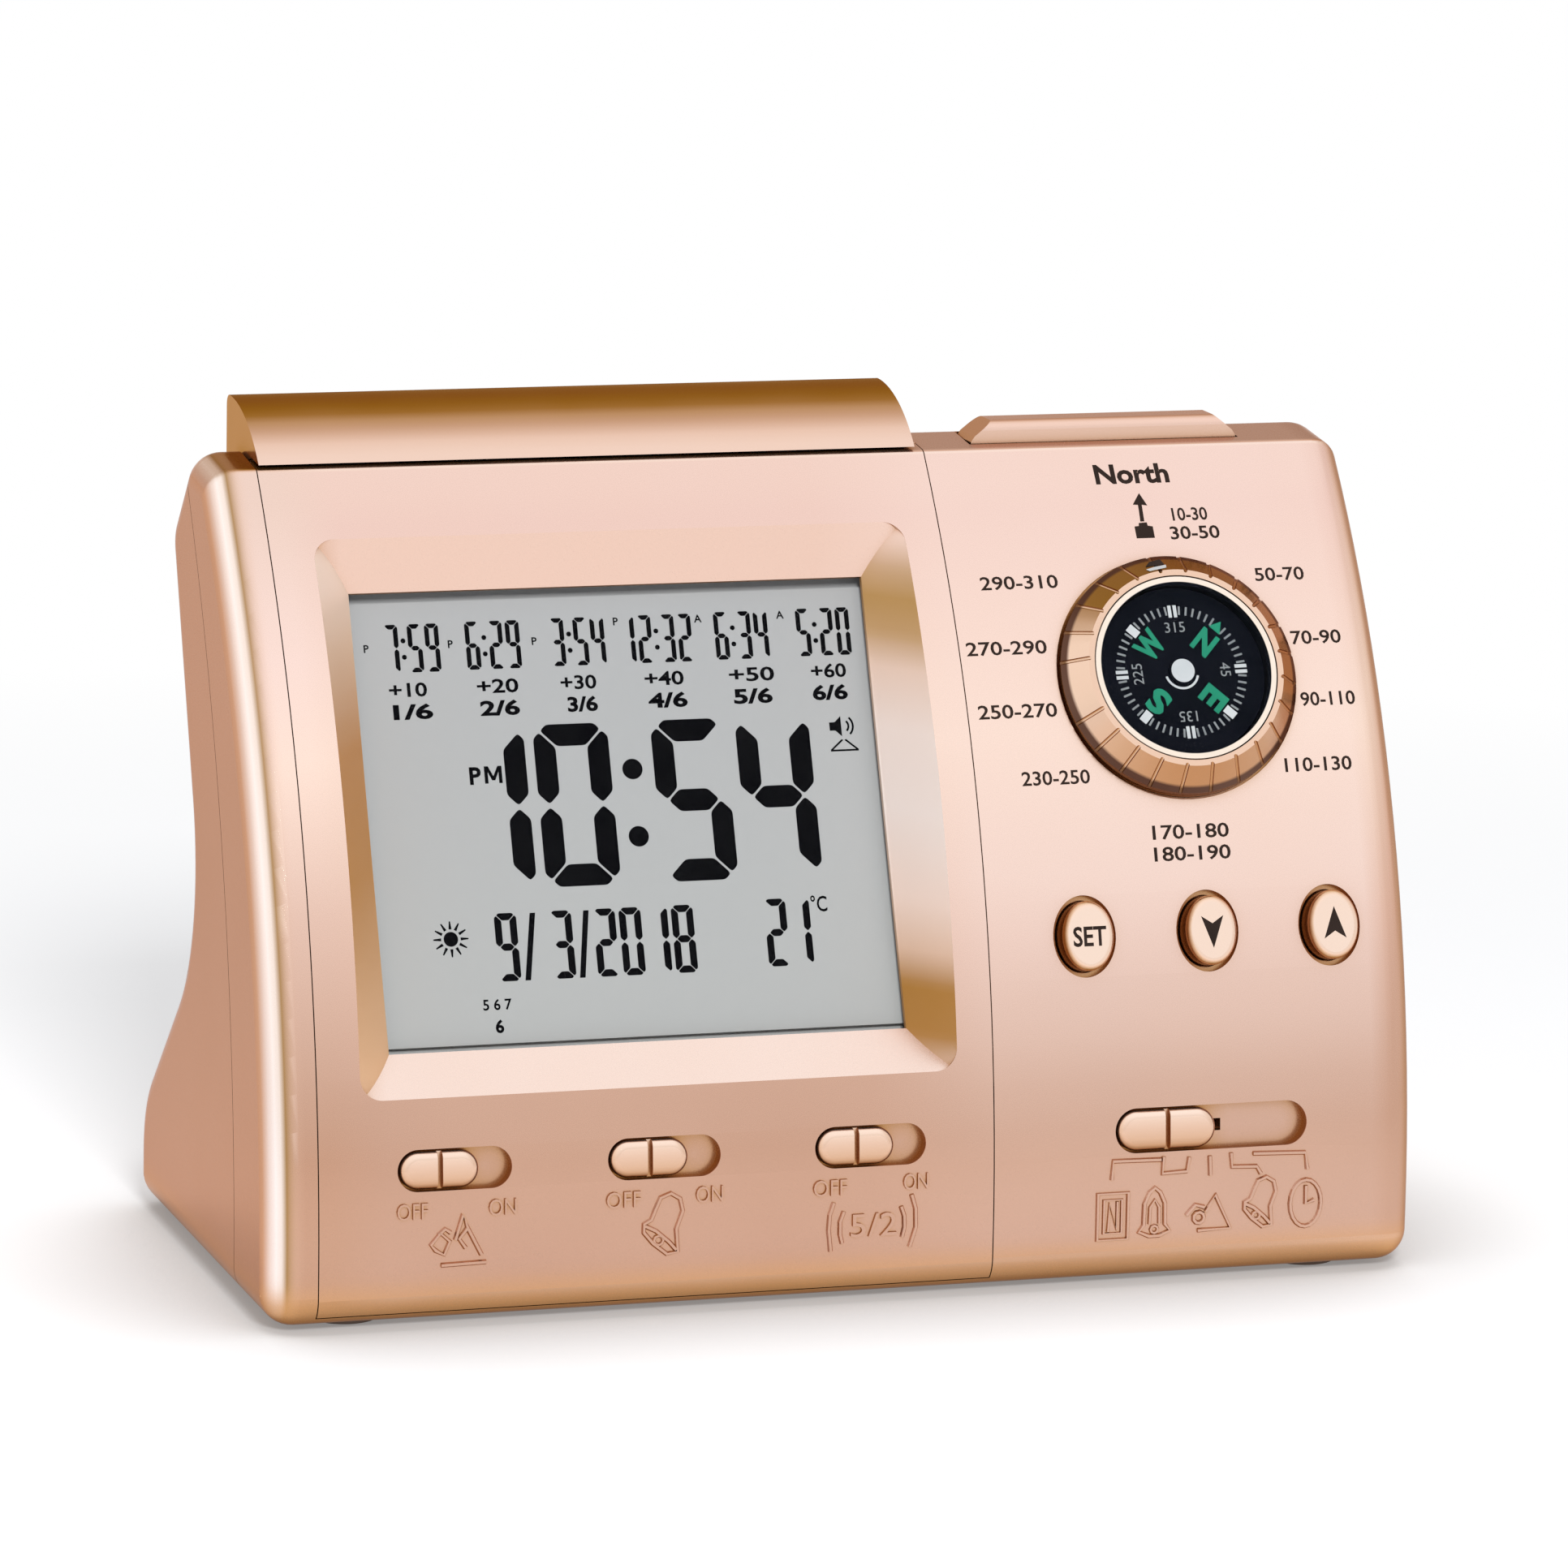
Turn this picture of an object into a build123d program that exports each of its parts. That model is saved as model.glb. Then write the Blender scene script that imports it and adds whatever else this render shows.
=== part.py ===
from build123d import *
from math import asin, cos, degrees, radians, sin, sqrt
import os

# Desk clock with prayer times and a direction compass.
# +X is to the right, +Y to the back, +Z up; the origin is under the middle, on the desk. Millimetres.

# ---- driving dimensions: the case -------------------------------------------------------------
case_width = 126.3
case_depth = 59.0
base_height = 0.6           # underside of the case above the desk
face_radius = 123.0         # front face, one arc seen from the side
face_upright_height = 5.9   # height at which the face stands upright
face_top_height = 85.5
wall = 2.2
side_round = 3.4            # rounding all round both ends of the case
front_bottom_round = 3.4
rear_bottom_round = 3.4
face_top_round = 1.2
top_round = 4.0
shoulder_round = 5.0
waist_round = 20.0
foot_round = 13.0
shoulder_run = 8.4          # from the face's top edge back to the shoulder
shoulder_rise = 1.0
back_run = 17.17            # from the face's top edge back to the top of the flat back
back_height = 76.9
waist_inset = 26.6          # how far the waist stands in front of the foot's rear
waist_height = 36.3
foot_height = 12.3
seam_low_inset = 14.3       # the joint of the half shells, behind the front
seam_mid_inset = 19.8
seam_mid_height = 44.0
seam_top_run = 11.07
seam_top_rise = 2.0
shell_seam = 0.15           # gap between the two half shells
tongue_depth = 2.0
tongue_thickness = 1.0
tongue_gap = 0.1
foot_pad_radius = 3.6
foot_pad_thickness = 1.4
foot_pad_inset_x = 10.0
foot_pad_inset_y = 9.0

# ---- driving dimensions: what is on the face ---------------------------------------------------
faceplate_inset = 5.5       # case to the left of the faceplate
panel_width = 47.8          # case to the right of the faceplate
faceplate_left = faceplate_inset - case_width / 2
faceplate_width = case_width - panel_width - faceplate_inset
faceplate_thickness = 2.0
faceplate_bottom = 1.7
trim_gap = 0.12             # visible joint round the faceplate
ledge_width = 2.4
ledge_thickness = 1.7
block_rim = 1.2             # bezel material outside the bezel's edge
bezel_bottom = 24.2         # heights on the face
bezel_top = 78.8
bezel_margin_left = 4.55
bezel_margin_right = 3.9
bezel_corner = 2.4
window_slope_side = 4.2     # how far the bezel slopes run in from its edge
window_slope_end = 5.2
window_recess = 3.0
window_lip = 0.6
lens_overlap = 1.2
lens_thickness = 1.0
glass_thickness = 1.8
holder_wall = 1.8
zebra_height = 2.2
board_thickness = 1.5
board_margin = 1.5

panel_middle = 23.8         # from the case's right end to the middle of the dial
dial_x = case_width / 2 - panel_middle
slot_height = 16.8
slot_margin_left = 14.4     # from the faceplate's ends to the middle of the outer slots
slot_margin_right = 13.6
slot_pitch = (faceplate_width - slot_margin_left - slot_margin_right) / 2
small_slot_x = tuple(faceplate_left + slot_margin_left + n * slot_pitch for n in range(3))
small_slot_length = 12.2
small_slot_width = 4.4
small_knob_length = 8.4
mode_slot_x = dial_x + 0.4
mode_slot_length = 21.6
mode_slot_width = 4.8
mode_knob_length = 11.0
mode_stem_shift = 4.5       # how far the mode knob's stem stands to the left of its middle
mode_switch_length = 14.0
slot_depth = 1.5
slot_floor = 1.5
knob_gap = 0.25
knob_proud = 0.45
stem_length = 1.6
stem_height = 0.9
stem_gap = 0.2
slide_board_height = 9.6
switch_body_depth = 3.6

key_height = 37.3
key_pitch = 13.8
key_row_x = dial_x + 0.6
key_half_width = 2.85       # the keys are upright ovals
key_half_height = 3.7
key_gap = 0.15
key_proud = 1.7
key_well_margin = 0.65      # width of the moat round a key
key_well_depth = 1.0
key_travel = 0.7
key_flange = 0.9
key_flange_margin = 0.9
key_board_height = 13.0
key_board_margin = 4.0      # board beyond the middle of the outer keys
tact_size = 6.0
tact_height = 3.4

dial_height = 62.9
dial_radius = 13.2
dial_proud = 3.2
dial_rim_radius = 10.9
dial_seat_depth = 0.8
dial_gap = 0.15
dial_skirt_radius = 11.8
dial_clip_radius = 12.7
dial_groove_count = 24
dial_groove_radius = 0.22
dial_boss_radius = 15.5
mount_radius = 17.0
mount_post_circle = 14.4
mount_post_radius = 1.1
capsule_radius = 10.1
capsule_wall = 0.6
card_radius = 9.3
card_thickness = 0.8
pivot_radius = 0.4

# ---- driving dimensions: what is on the top ----------------------------------------------------
bar_left = faceplate_left + 0.2
bar_length = faceplate_width - 1.1
bar_front_run = 0.1         # from the face's top edge back to the bar
bar_top = 91.3
bar_depth = 14.2
bar_wall = 1.6
bar_rear_round = 1.2
bar_seam = 0.4
bar_lip = 0.3               # how far the bar's front edge reaches down below its underside
well_depth = 4.2
well_gap = 0.3
well_wall = 1.6
well_floor_reach = 12.1     # how far the well's floor carries on in front of it
pivot_pin_radius = 0.8
pivot_gap = 0.05
bearing_width = 3.0
pad_x = dial_x - 2.8
pad_run = 4.35              # from the face's top edge back to the pad's middle
pad_length = 30.2
pad_depth = 4.8
pad_top = 88.1
pad_end_slope = 2.4
pad_gap = 0.25
pad_travel = 0.8
pad_post_gap = 2.6          # from the pad's ends to the middle of the posts beside it

# ---- driving dimensions: the back and the base -------------------------------------------------
battery_length = 44.5
battery_radius = 5.25
battery_spacing = 11.2
battery_row_y = 4.6
contact_room = 2.4
contact_half_width = 4.2
bay_wall = 1.4
door_thickness = 1.6
door_gap = 0.2
door_tongue = 1.0
speaker_radius = 14.0
speaker_x = dial_x - 2.6
speaker_height = 61.5
grille_pitch = 3.6
grille_hole_radius = 0.9
screw_inset = 5.7
screw_x = case_width / 2 - screw_inset
screw_heights = (13.0, 69.5)
screw_joint_y = (-8.0, -1.5)
boss_radius = 2.5
boss_clearance = 0.4          # room for the bosses in the rim's tongue
boss_start = 3.4            # how far behind the face the front bosses begin
screw_radius = 1.1
screw_head_radius = 1.9

# ---- values that follow -------------------------------------------------------------------------
front_y = -case_depth / 2
rear_y = case_depth / 2
half_width = case_width / 2
arc_y = front_y + face_radius
faceplate_right = faceplate_left + faceplate_width
above = 2 * face_top_height
bezel_left = faceplate_left + bezel_margin_left
bezel_right = faceplate_right - bezel_margin_right
window_left = bezel_left + window_slope_side
window_right = bezel_right - window_slope_side
far = 2 * case_width


def face_y(z, depth=0.0):
    """Where the face, or the arc that lies depth behind it, is at height z."""
    radius = face_radius - depth
    return arc_y - sqrt(radius**2 - (z - face_upright_height) ** 2)


def face_plane(x, z):
    """Plane on the face at x, z: local Z points out of the face and local Y up along it."""
    tilt = asin((z - face_upright_height) / face_radius)
    normal = Vector(0, -cos(tilt), sin(tilt))
    return Plane(Vector(x, face_y(z), z), x_dir=(1, 0, 0), z_dir=normal)


# The bezel's own plane goes through its lower and upper edge.
chord_low = Vector(0, face_y(bezel_bottom), bezel_bottom)
chord_high = Vector(0, face_y(bezel_top), bezel_top)
chord_length = (chord_high - chord_low).length
chord_up = (chord_high - chord_low).normalized()
chord_out = Vector(0, -chord_up.Z, chord_up.Y)
window_height = chord_length - 2 * window_slope_end
window_x = (window_left + window_right) / 2
window_width = window_right - window_left


def bezel_plane(x, up, out):
    """Plane parallel to the bezel, up along it from its lower edge and out in front of it."""
    origin = Vector(x, 0, 0) + chord_low + chord_up * up + chord_out * out
    return Plane(origin, x_dir=(1, 0, 0), z_dir=chord_out)


def slab(plane, length, width, low, high):
    """Box on a plane, from low to high along the plane's normal."""
    return extrude(plane.offset(low) * Rectangle(length, width), amount=high - low)


def disc(plane, radius, low, high):
    """Cylinder on a plane, from low to high along the plane's normal."""
    return extrude(plane.offset(low) * Circle(radius), amount=high - low)


def oval(plane, margin, low, high):
    """Prism with a key's outline on a plane, grown by a margin."""
    outline = Ellipse(key_half_width + margin, key_half_height + margin)
    return extrude(plane.offset(low) * outline, amount=high - low)


def pill(plane, length, width, low, high):
    """Stadium-shaped prism on a plane, long along X."""
    return extrude(plane.offset(low) * SlotOverall(length, width), amount=high - low)


def brick(x0, x1, y0, y1, z0, z1):
    """Box between two corners."""
    centre = ((x0 + x1) / 2, (y0 + y1) / 2, (z0 + z1) / 2)
    return Pos(*centre) * Box(x1 - x0, y1 - y0, z1 - z0)


def side_prism(sketch, x0, x1):
    """A profile drawn in Y and Z, carried from x0 to x1."""
    return extrude(Plane.YZ.offset(x0) * sketch, amount=x1 - x0)


# ---- the case ------------------------------------------------------------------------------------
top_y = face_y(face_top_height)
shoulder = (top_y + shoulder_run, face_top_height + shoulder_rise)
shoulder_back = (top_y + back_run, back_height)
waist = (rear_y - waist_inset, waist_height)
foot_back = (rear_y, foot_height)


def case_profile():
    """Side view of the case: curved face, sloping shoulder, narrow waist and deep foot."""
    sweep = degrees(asin((face_top_height - face_upright_height) / face_radius))
    face = CenterArc((arc_y, face_upright_height), face_radius, 180, -sweep)
    rear_corner = (rear_y, base_height)
    front_corner = (front_y, base_height)
    back = Polyline(face @ 1, shoulder, shoulder_back, waist, foot_back, rear_corner, front_corner)
    profile = make_face([Line(front_corner, face @ 0), face, back])
    rounds = (
        (((face @ 1).X, (face @ 1).Y), face_top_round),
        (shoulder, top_round),
        (shoulder_back, shoulder_round),
        (waist, waist_round),
        (foot_back, foot_round),
        (rear_corner, rear_bottom_round),
        (front_corner, front_bottom_round),
    )
    for corner, radius in rounds:
        profile = fillet(profile.vertices().sort_by_distance(corner)[0], radius)
    return profile


def case_body():
    """The whole case as one solid block, with both ends rounded over."""
    block = side_prism(case_profile(), -half_width, half_width)
    ends = [e for e in block.edges() if abs(abs(e.center().X) - half_width) < 0.001]
    return fillet(ends, side_round)


body = case_body()
inner_width = half_width - wall
cavity = side_prism(offset(case_profile(), -wall), -inner_width, inner_width)
seam_low = (front_y + seam_low_inset, 0.0)
seam_mid = (front_y + seam_mid_inset, seam_mid_height)
seam_high = (top_y + seam_top_run, face_top_height + seam_top_rise)


def front_region(back_shift, reach=half_width + wall):
    """Everything in front of the joint between the two half shells."""
    seam = ThreePointArc(seam_low, seam_mid, seam_high)
    ahead = front_y - case_depth
    outline = Polyline(seam @ 1, (ahead, seam_high[1]), (ahead, seam_low[1]), seam @ 0)
    region = make_face([seam, outline])
    return Pos(0, back_shift, 0) * side_prism(region, -reach, reach)


def face_layer(shallow, deep, x0, x1, z0=-wall, z1=above):
    """Curved plate between two depths behind the face."""
    outer = Pos(0, arc_y, face_upright_height) * Rot(0, 90, 0) * Cylinder(face_radius - shallow, far)
    inner = Pos(0, arc_y, face_upright_height) * Rot(0, 90, 0) * Cylinder(face_radius - deep, far)
    return (outer - inner) & brick(x0, x1, front_y - wall, front_y + case_depth, z0, z1)


# ---- the bezel round the display -----------------------------------------------------------------
def bezel_side(x_in, x_out):
    """Wedge in front of a side slope, ruled from the window's edge out to the curved face."""
    low, high = -2.0, chord_length + 2.0
    top = 9.0

    def at(up, out):
        point = chord_low + chord_up * up + chord_out * out
        return (point.Y, point.Z)

    def on_face(up):
        base = chord_low + chord_up * up
        centre = Vector(0, arc_y, face_upright_height)
        ahead = (base - centre).dot(chord_out)
        across = (base - centre).dot(chord_up)
        return at(up, sqrt(face_radius**2 - across**2) - ahead)

    floor = Line(at(low, -window_recess), at(high, -window_recess))
    inner = make_face([floor, Polyline(floor @ 1, at(high, top), at(low, top), floor @ 0)])
    rim = ThreePointArc(on_face(low), on_face(chord_length / 2), on_face(high))
    outer = make_face([rim, Polyline(rim @ 1, at(high, top), at(low, top), rim @ 0)])
    return loft([Plane.YZ.offset(x_in) * inner, Plane.YZ.offset(x_out) * outer], ruled=True)


def bezel_cutter():
    """The funnel in the faceplate: four slopes that run from the face down to the window."""
    middle = bezel_plane(window_x, chord_length / 2, 0)
    core = slab(middle, window_width, chord_length + 4.0, -window_recess, 9.0)
    sides = core + bezel_side(window_left, bezel_left) + bezel_side(window_right, bezel_right)
    corners = [(0, 0), (window_slope_end, -window_recess)]
    corners += [(chord_length - window_slope_end, -window_recess), (chord_length, 0)]
    corners += [(chord_length, 9.0), (0, 9.0)]
    points = [chord_low + chord_up * up + chord_out * out for up, out in corners]
    trough = make_face(Polyline(*[(p.Y, p.Z) for p in points], close=True))
    bezel_width = bezel_right - bezel_left
    frame = bezel_plane((bezel_left + bezel_right) / 2, chord_length / 2, -window_recess - 1.0)
    rounded = extrude(frame * RectangleRounded(bezel_width, chord_length, bezel_corner), amount=14.0)
    return sides & side_prism(trough, bezel_left, bezel_right) & rounded


def slot_cut(x, length, width, knob_length, stem_shift=0.0):
    """Stadium pocket for a sliding knob, with a slit through its floor for the knob's stem."""
    plane = face_plane(x, slot_height)
    pocket = pill(plane, length, width, -slot_depth, 3.0)
    travel = length - 2 * knob_gap - knob_length
    slit_length = travel + stem_length + 2 * stem_gap
    slit_plane = face_plane(x - stem_shift, slot_height)
    slit = slab(slit_plane, slit_length, stem_height + 2 * stem_gap, -slot_depth - slot_floor - 1.0, 0)
    return pocket + slit


def slot_backing(x, length, width):
    """Thick pad behind a slot, so that its floor has a full wall."""
    plane = face_plane(x, slot_height)
    return slab(plane, length + 2.0, width + 2.4, -slot_depth - slot_floor, -0.9)


def lcd_faceplate():
    """Curved plate with the sloped bezel, three knob slots and posts for the slide board."""
    plate = face_layer(0, faceplate_thickness, faceplate_left, faceplate_right, faceplate_bottom)
    rim = block_rim
    block = slab(
        bezel_plane((bezel_left + bezel_right) / 2, chord_length / 2, 0),
        bezel_right - bezel_left + 2 * rim,
        chord_length + 2 * rim,
        -window_recess - window_lip,
        6.0,
    )
    solid = plate + block
    for x in small_slot_x:
        solid += slot_backing(x, small_slot_length, small_slot_width)
    for x in slide_posts[:2]:
        solid += disc(face_plane(x, slot_height), 1.6, -slide_board_depth, -1.0)
    solid &= body
    solid -= bezel_cutter()
    middle = bezel_plane(window_x, chord_length / 2, 0)
    solid -= slab(middle, window_width, window_height, -window_recess - 2.0, 0)
    for x in small_slot_x:
        solid -= slot_cut(x, small_slot_length, small_slot_width, small_knob_length)
    return solid


# ---- the shells ----------------------------------------------------------------------------------
mode_slot = (mode_slot_x, mode_slot_length, mode_slot_width, mode_knob_length, mode_stem_shift)
slide_board_depth = slot_depth + slot_floor + 0.3 + switch_body_depth
slide_posts = (small_slot_x[0] + slot_pitch / 2, small_slot_x[1] + slot_pitch / 2, faceplate_right + 5.9)
well_floor = face_top_height + 0.6 - well_depth
well_left = bar_left - well_gap
well_right = bar_left + bar_length + well_gap
well_front = face_y(face_top_height, faceplate_thickness) + 0.2
hinge_y = well_front + 2.2
hinge_z = well_floor + 1.9
bearing_x = (bar_left + 8.0, bar_left + bar_length / 2, bar_left + bar_length - 8.0)
lug_x = (bar_left + 14.0, bar_left + bar_length - 14.0)
lug_width = 3.0
pin_left = bearing_x[0] - bearing_width / 2 + 0.5
pin_right = bearing_x[2] + bearing_width / 2
pad_y = top_y + pad_run
dial = face_plane(dial_x, dial_height)
key_x = tuple(key_row_x + key_pitch * n for n in (-1, 0, 1))
dial_boss_depth = 3.2
clip_gap = 0.2
bezel_ring_low = -dial_boss_depth - clip_gap


def shell_block():
    """Both half shells together: hollow case with the well for the bar cut into its top."""
    hollow = body - cavity
    start = well_front - well_floor_reach
    floor = brick(well_left - wall, well_right + wall, start, rear_y, well_floor - wall, well_floor)
    hollow += floor & body
    for x in (well_left - well_wall, well_right):
        hollow += brick(x, x + well_wall, start, rear_y, well_floor - wall, above) & body
    return hollow - brick(well_left, well_right, well_front, rear_y, well_floor, above)


def boss_positions():
    """Each screw's x, height and the joint plane between its two bosses."""
    return [(side * screw_x, z, y) for z, y in zip(screw_heights, screw_joint_y) for side in (-1, 1)]


def along_y(x, z, radius, y0, y1):
    """Cylinder along Y."""
    return Pos(x, (y0 + y1) / 2, z) * Rot(90, 0, 0) * Cylinder(radius, y1 - y0)


def front_shell(block):
    """Front half: frame for the faceplate on the left, control panel on the right."""
    shell = block & front_region(0)
    left = faceplate_left - trim_gap
    right = faceplate_right + trim_gap
    shell -= face_layer(-5, wall + 0.5, left, right, faceplate_bottom - trim_gap, well_floor - wall)
    shell -= face_layer(-5, faceplate_thickness + 0.1, left, right, faceplate_bottom - trim_gap)
    shell += ledges(left, right) & body
    shell += slot_backing(mode_slot_x, mode_slot_length, mode_slot_width) & body
    shell += disc(dial, dial_boss_radius, -dial_boss_depth, -1.3) & body
    for x, z, y in boss_positions():
        start = boss_start if x < faceplate_right else wall / 2
        shell += along_y(x, z, boss_radius, face_y(z, start), y) & body
    for x in slide_posts[2:]:
        shell += disc(face_plane(x, slot_height), 1.6, -slide_board_depth, -1.0)
    for x in key_posts:
        shell += disc(face_plane(x, key_height), 1.5, -key_board_depth, -1.0)
    post_top = face_top_height - 0.5
    for x in pad_posts:
        shell += Pos(x, pad_y, (pad_board_top + post_top) / 2) * Cylinder(1.5, post_top - pad_board_top)
    for x in bearing_x:
        side = bearing_width / 2
        shell += brick(x - side, x + side, hinge_y - 1.7, hinge_y + 1.7, well_floor - 1.0, hinge_z + 1.5)
    shell -= pin_rod(pivot_pin_radius, pin_left, pin_right)
    return shell - front_openings()


def pin_rod(radius, x0, x1):
    """Rod along the bar's hinge axis."""
    return Pos((x0 + x1) / 2, hinge_y, hinge_z) * Rot(0, 90, 0) * Cylinder(radius, x1 - x0)


def ledges(left, right):
    """Two ribs behind the faceplate's long edges and one behind its lower edge."""
    near = faceplate_thickness + 0.1
    deep = near + ledge_thickness
    ribs = face_layer(near, deep, left - 3.0, left + ledge_width, 1.0, face_top_height - 1.0)
    ribs += face_layer(near, deep, right - ledge_width, right + 3.0, 1.0, face_top_height - 1.0)
    ribs += face_layer(near, deep, left, right, 1.0, faceplate_bottom + ledge_width)
    return ribs


def front_openings():
    """Holes in the control panel and in the top."""
    cuts = slot_cut(*mode_slot)
    cuts += disc(dial, dial_radius + 0.25, -dial_seat_depth, 5.0)
    cuts += disc(dial, dial_skirt_radius + dial_gap, -dial_boss_depth - 1.0, 0)
    for x in key_x:
        plane = face_plane(x, key_height)
        cuts += oval(plane, key_well_margin, -key_well_depth, 2.0)
        cuts += oval(plane, key_gap, -wall - 2.0, 0)
    cuts += pad_opening()
    for x, z, y in boss_positions():
        cuts += along_y(x, z, screw_radius, y - 6.0, y + 1.0)
    for x in foot_x:
        cuts += pad_disc(x, foot_front_y, foot_pad_radius + 0.1)
    return cuts


def pad_opening():
    """Hole in the top for the pad."""
    half = pad_length / 2 + pad_gap
    deep = pad_depth / 2 + pad_gap
    return brick(pad_x - half, pad_x + half, pad_y - deep, pad_y + deep, pad_flange_top - 1.0, above)


foot_x = (-half_width + foot_pad_inset_x, half_width - foot_pad_inset_x)
foot_front_y = front_y + foot_pad_inset_y - 1.4
foot_rear_y = rear_y - foot_pad_inset_y
bay_half_length = battery_length / 2 + contact_room
bay_half_width = battery_spacing / 2 + battery_radius + 0.4
bay_top = base_height + wall + 2 * battery_radius + 0.8
door_half_width = bay_half_length + 0.8
door_front = battery_row_y - bay_half_width - 0.8
door_top = base_height + door_thickness


def door_blank(gap):
    """The door's plate with the tongues along its sides, grown by a gap."""
    plate = brick(-door_half_width - gap, door_half_width + gap, door_front - gap, rear_y + 1.0,
                  base_height - 1.0, door_top + gap)
    tongue = brick(-door_half_width - door_tongue - gap, door_half_width + door_tongue + gap,
                   door_front - gap, battery_row_y + bay_half_width + (far if gap else 0),
                   base_height + 0.5 - gap / 2, base_height + 1.1 + gap / 2)
    return plate + tongue


def speaker_plane():
    """Plane on the flat part of the back, local Z out of the back."""
    run = Vector(0, shoulder_back[0] - waist[0], shoulder_back[1] - waist[1]).normalized()
    share = (speaker_height - waist[1]) / (shoulder_back[1] - waist[1])
    y = waist[0] + share * (shoulder_back[0] - waist[0])
    return Plane(Vector(speaker_x, y, speaker_height), x_dir=(-1, 0, 0), z_dir=Vector(0, run.Z, -run.Y))


def grille_holes():
    """Rows of round holes inside a circle, staggered."""
    plane = speaker_plane()
    holes = []
    rows = int(speaker_radius / grille_pitch)
    for row in range(-rows, rows + 1):
        for column in range(-rows, rows + 1):
            x = (column + 0.5 * (row % 2)) * grille_pitch
            y = row * grille_pitch * cos(radians(30))
            if sqrt(x * x + y * y) < speaker_radius - 2.6:
                holes.append((x, y))
    pattern = Sketch() + [Pos(x, y) * Circle(grille_hole_radius) for x, y in holes]
    return extrude(plane.offset(-wall - 1.0) * pattern, amount=wall + 3.0)


def rear_shell(block):
    """Rear half: speaker grille, battery bay, door rails and the long screw bosses."""
    shell = block - front_region(shell_seam)
    tongue = inner_rim(wall + tongue_gap) & front_region(shell_seam + tongue_depth)
    tongue -= front_region(-tongue_depth)
    root = inner_rim(wall - 0.3) & front_region(shell_seam + tongue_depth)
    root -= front_region(shell_seam)
    shell += (tongue + root) - tongue_clearance()
    bed = brick(-door_half_width - 3.0, door_half_width + 3.0, door_front - 3.0, rear_y, base_height, 4.4)
    shell += bed & body
    outer = brick(-bay_half_length - bay_wall, bay_half_length + bay_wall,
                  battery_row_y - bay_half_width - bay_wall, battery_row_y + bay_half_width + bay_wall,
                  base_height + wall, bay_top + bay_wall)
    shell += outer
    for x, z, y in boss_positions():
        shell += along_y(x, z, boss_radius, y + 0.1, rear_y) & body
    ring = disc(speaker_plane(), speaker_radius + 1.2, -wall - 2.0, -1.0)
    shell += ring - disc(speaker_plane(), speaker_radius + 0.1, -wall - 3.0, -wall)
    return shell - rear_openings()


def inner_rim(inset):
    """Hoop that follows the case's profile, from inset inwards to the tongue's inner face."""
    deep = wall + tongue_gap + tongue_thickness
    hoop = side_prism(offset(case_profile(), -inset), inset - half_width, half_width - inset)
    return hoop - side_prism(offset(case_profile(), -deep), deep - half_width, half_width - deep)


def tongue_clearance():
    """Room in the rim for the well, the pad, its posts and the screw bosses."""
    room = wall + 1.8
    cut = brick(pad_posts[0] - room, pad_posts[1] + room, front_y, pad_y + 2 * room, pad_board_top, above)
    cut += brick(well_left - room, well_right + room, front_y, rear_y, well_floor - wall - 0.4, above)
    for x, z, y in boss_positions():
        cut += along_y(x, z, boss_radius + boss_clearance, front_y, y + 0.1)
    return cut


def rear_openings():
    """Holes in the rear half."""
    cuts = door_blank(door_gap)
    cuts += brick(-bay_half_length, bay_half_length, battery_row_y - bay_half_width,
                  battery_row_y + bay_half_width, base_height, bay_top)
    cuts += grille_holes()
    for x, z, y in boss_positions():
        cuts += along_y(x, z, screw_radius + 0.2, y - 1.0, y + 6.0)
        cuts += along_y(x, z, screw_head_radius + 0.3, y + 4.0, rear_y + 2.0)
    for x in foot_x:
        cuts += pad_disc(x, foot_rear_y, foot_pad_radius + 0.1)
    return cuts


def battery_door():
    """Sliding door in the base; its rear end carries on the case's rounded lower edge."""
    door = door_blank(0) & body
    for n in range(5):
        y = rear_y - 8.0 - 2.0 * n
        door -= Pos(0, y, base_height) * Rot(0, 90, 0) * Cylinder(0.4, 16.0)
    return door


def pad_disc(x, y, radius):
    """Round pad that stands on the desk."""
    return Pos(x, y, foot_pad_thickness / 2) * Cylinder(radius, foot_pad_thickness)


def foot_pads():
    """Four round rubber pads, let into the base."""
    return [pad_disc(x, y, foot_pad_radius) for x in foot_x for y in (foot_front_y, foot_rear_y)]


# ---- display -------------------------------------------------------------------------------------
lens_front = -window_recess - window_lip
glass_front = lens_front - lens_thickness - 0.02
holder_back = glass_front - glass_thickness - zebra_height
display = bezel_plane(window_x, chord_length / 2, 0)
lens_width = window_width + 2 * lens_overlap
lens_height = window_height + 2 * lens_overlap


def lcd_lens():
    """Clear cover behind the bezel's lip."""
    return slab(display, lens_width, lens_height, lens_front - lens_thickness, lens_front - 0.02)


def lcd_glass():
    """Liquid-crystal cell: two glass sheets, the rear one longer at the contact edges."""
    middle = glass_front - glass_thickness / 2
    front = slab(display, lens_width, lens_height - 4.0, middle, glass_front)
    return front + slab(display, lens_width, lens_height, glass_front - glass_thickness, middle)


def lcd_holder():
    """Frame that holds lens and cell against the faceplate and spaces the board."""
    outer_width = lens_width + 0.2 + 2 * holder_wall
    outer_height = lens_height + 0.2 + 2 * holder_wall
    frame = slab(display, outer_width, outer_height, holder_back, lens_front)
    frame -= slab(display, lens_width + 0.2, lens_height + 0.2, holder_back - 1.0, lens_front + 1.0)
    shelf_back = glass_front - glass_thickness
    shelf = slab(display, outer_width, outer_height, holder_back, shelf_back)
    window = slab(display, lens_width - 3.0, lens_height - 1.0, holder_back - 1.0, lens_front)
    return frame + (shelf - window)


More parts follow.
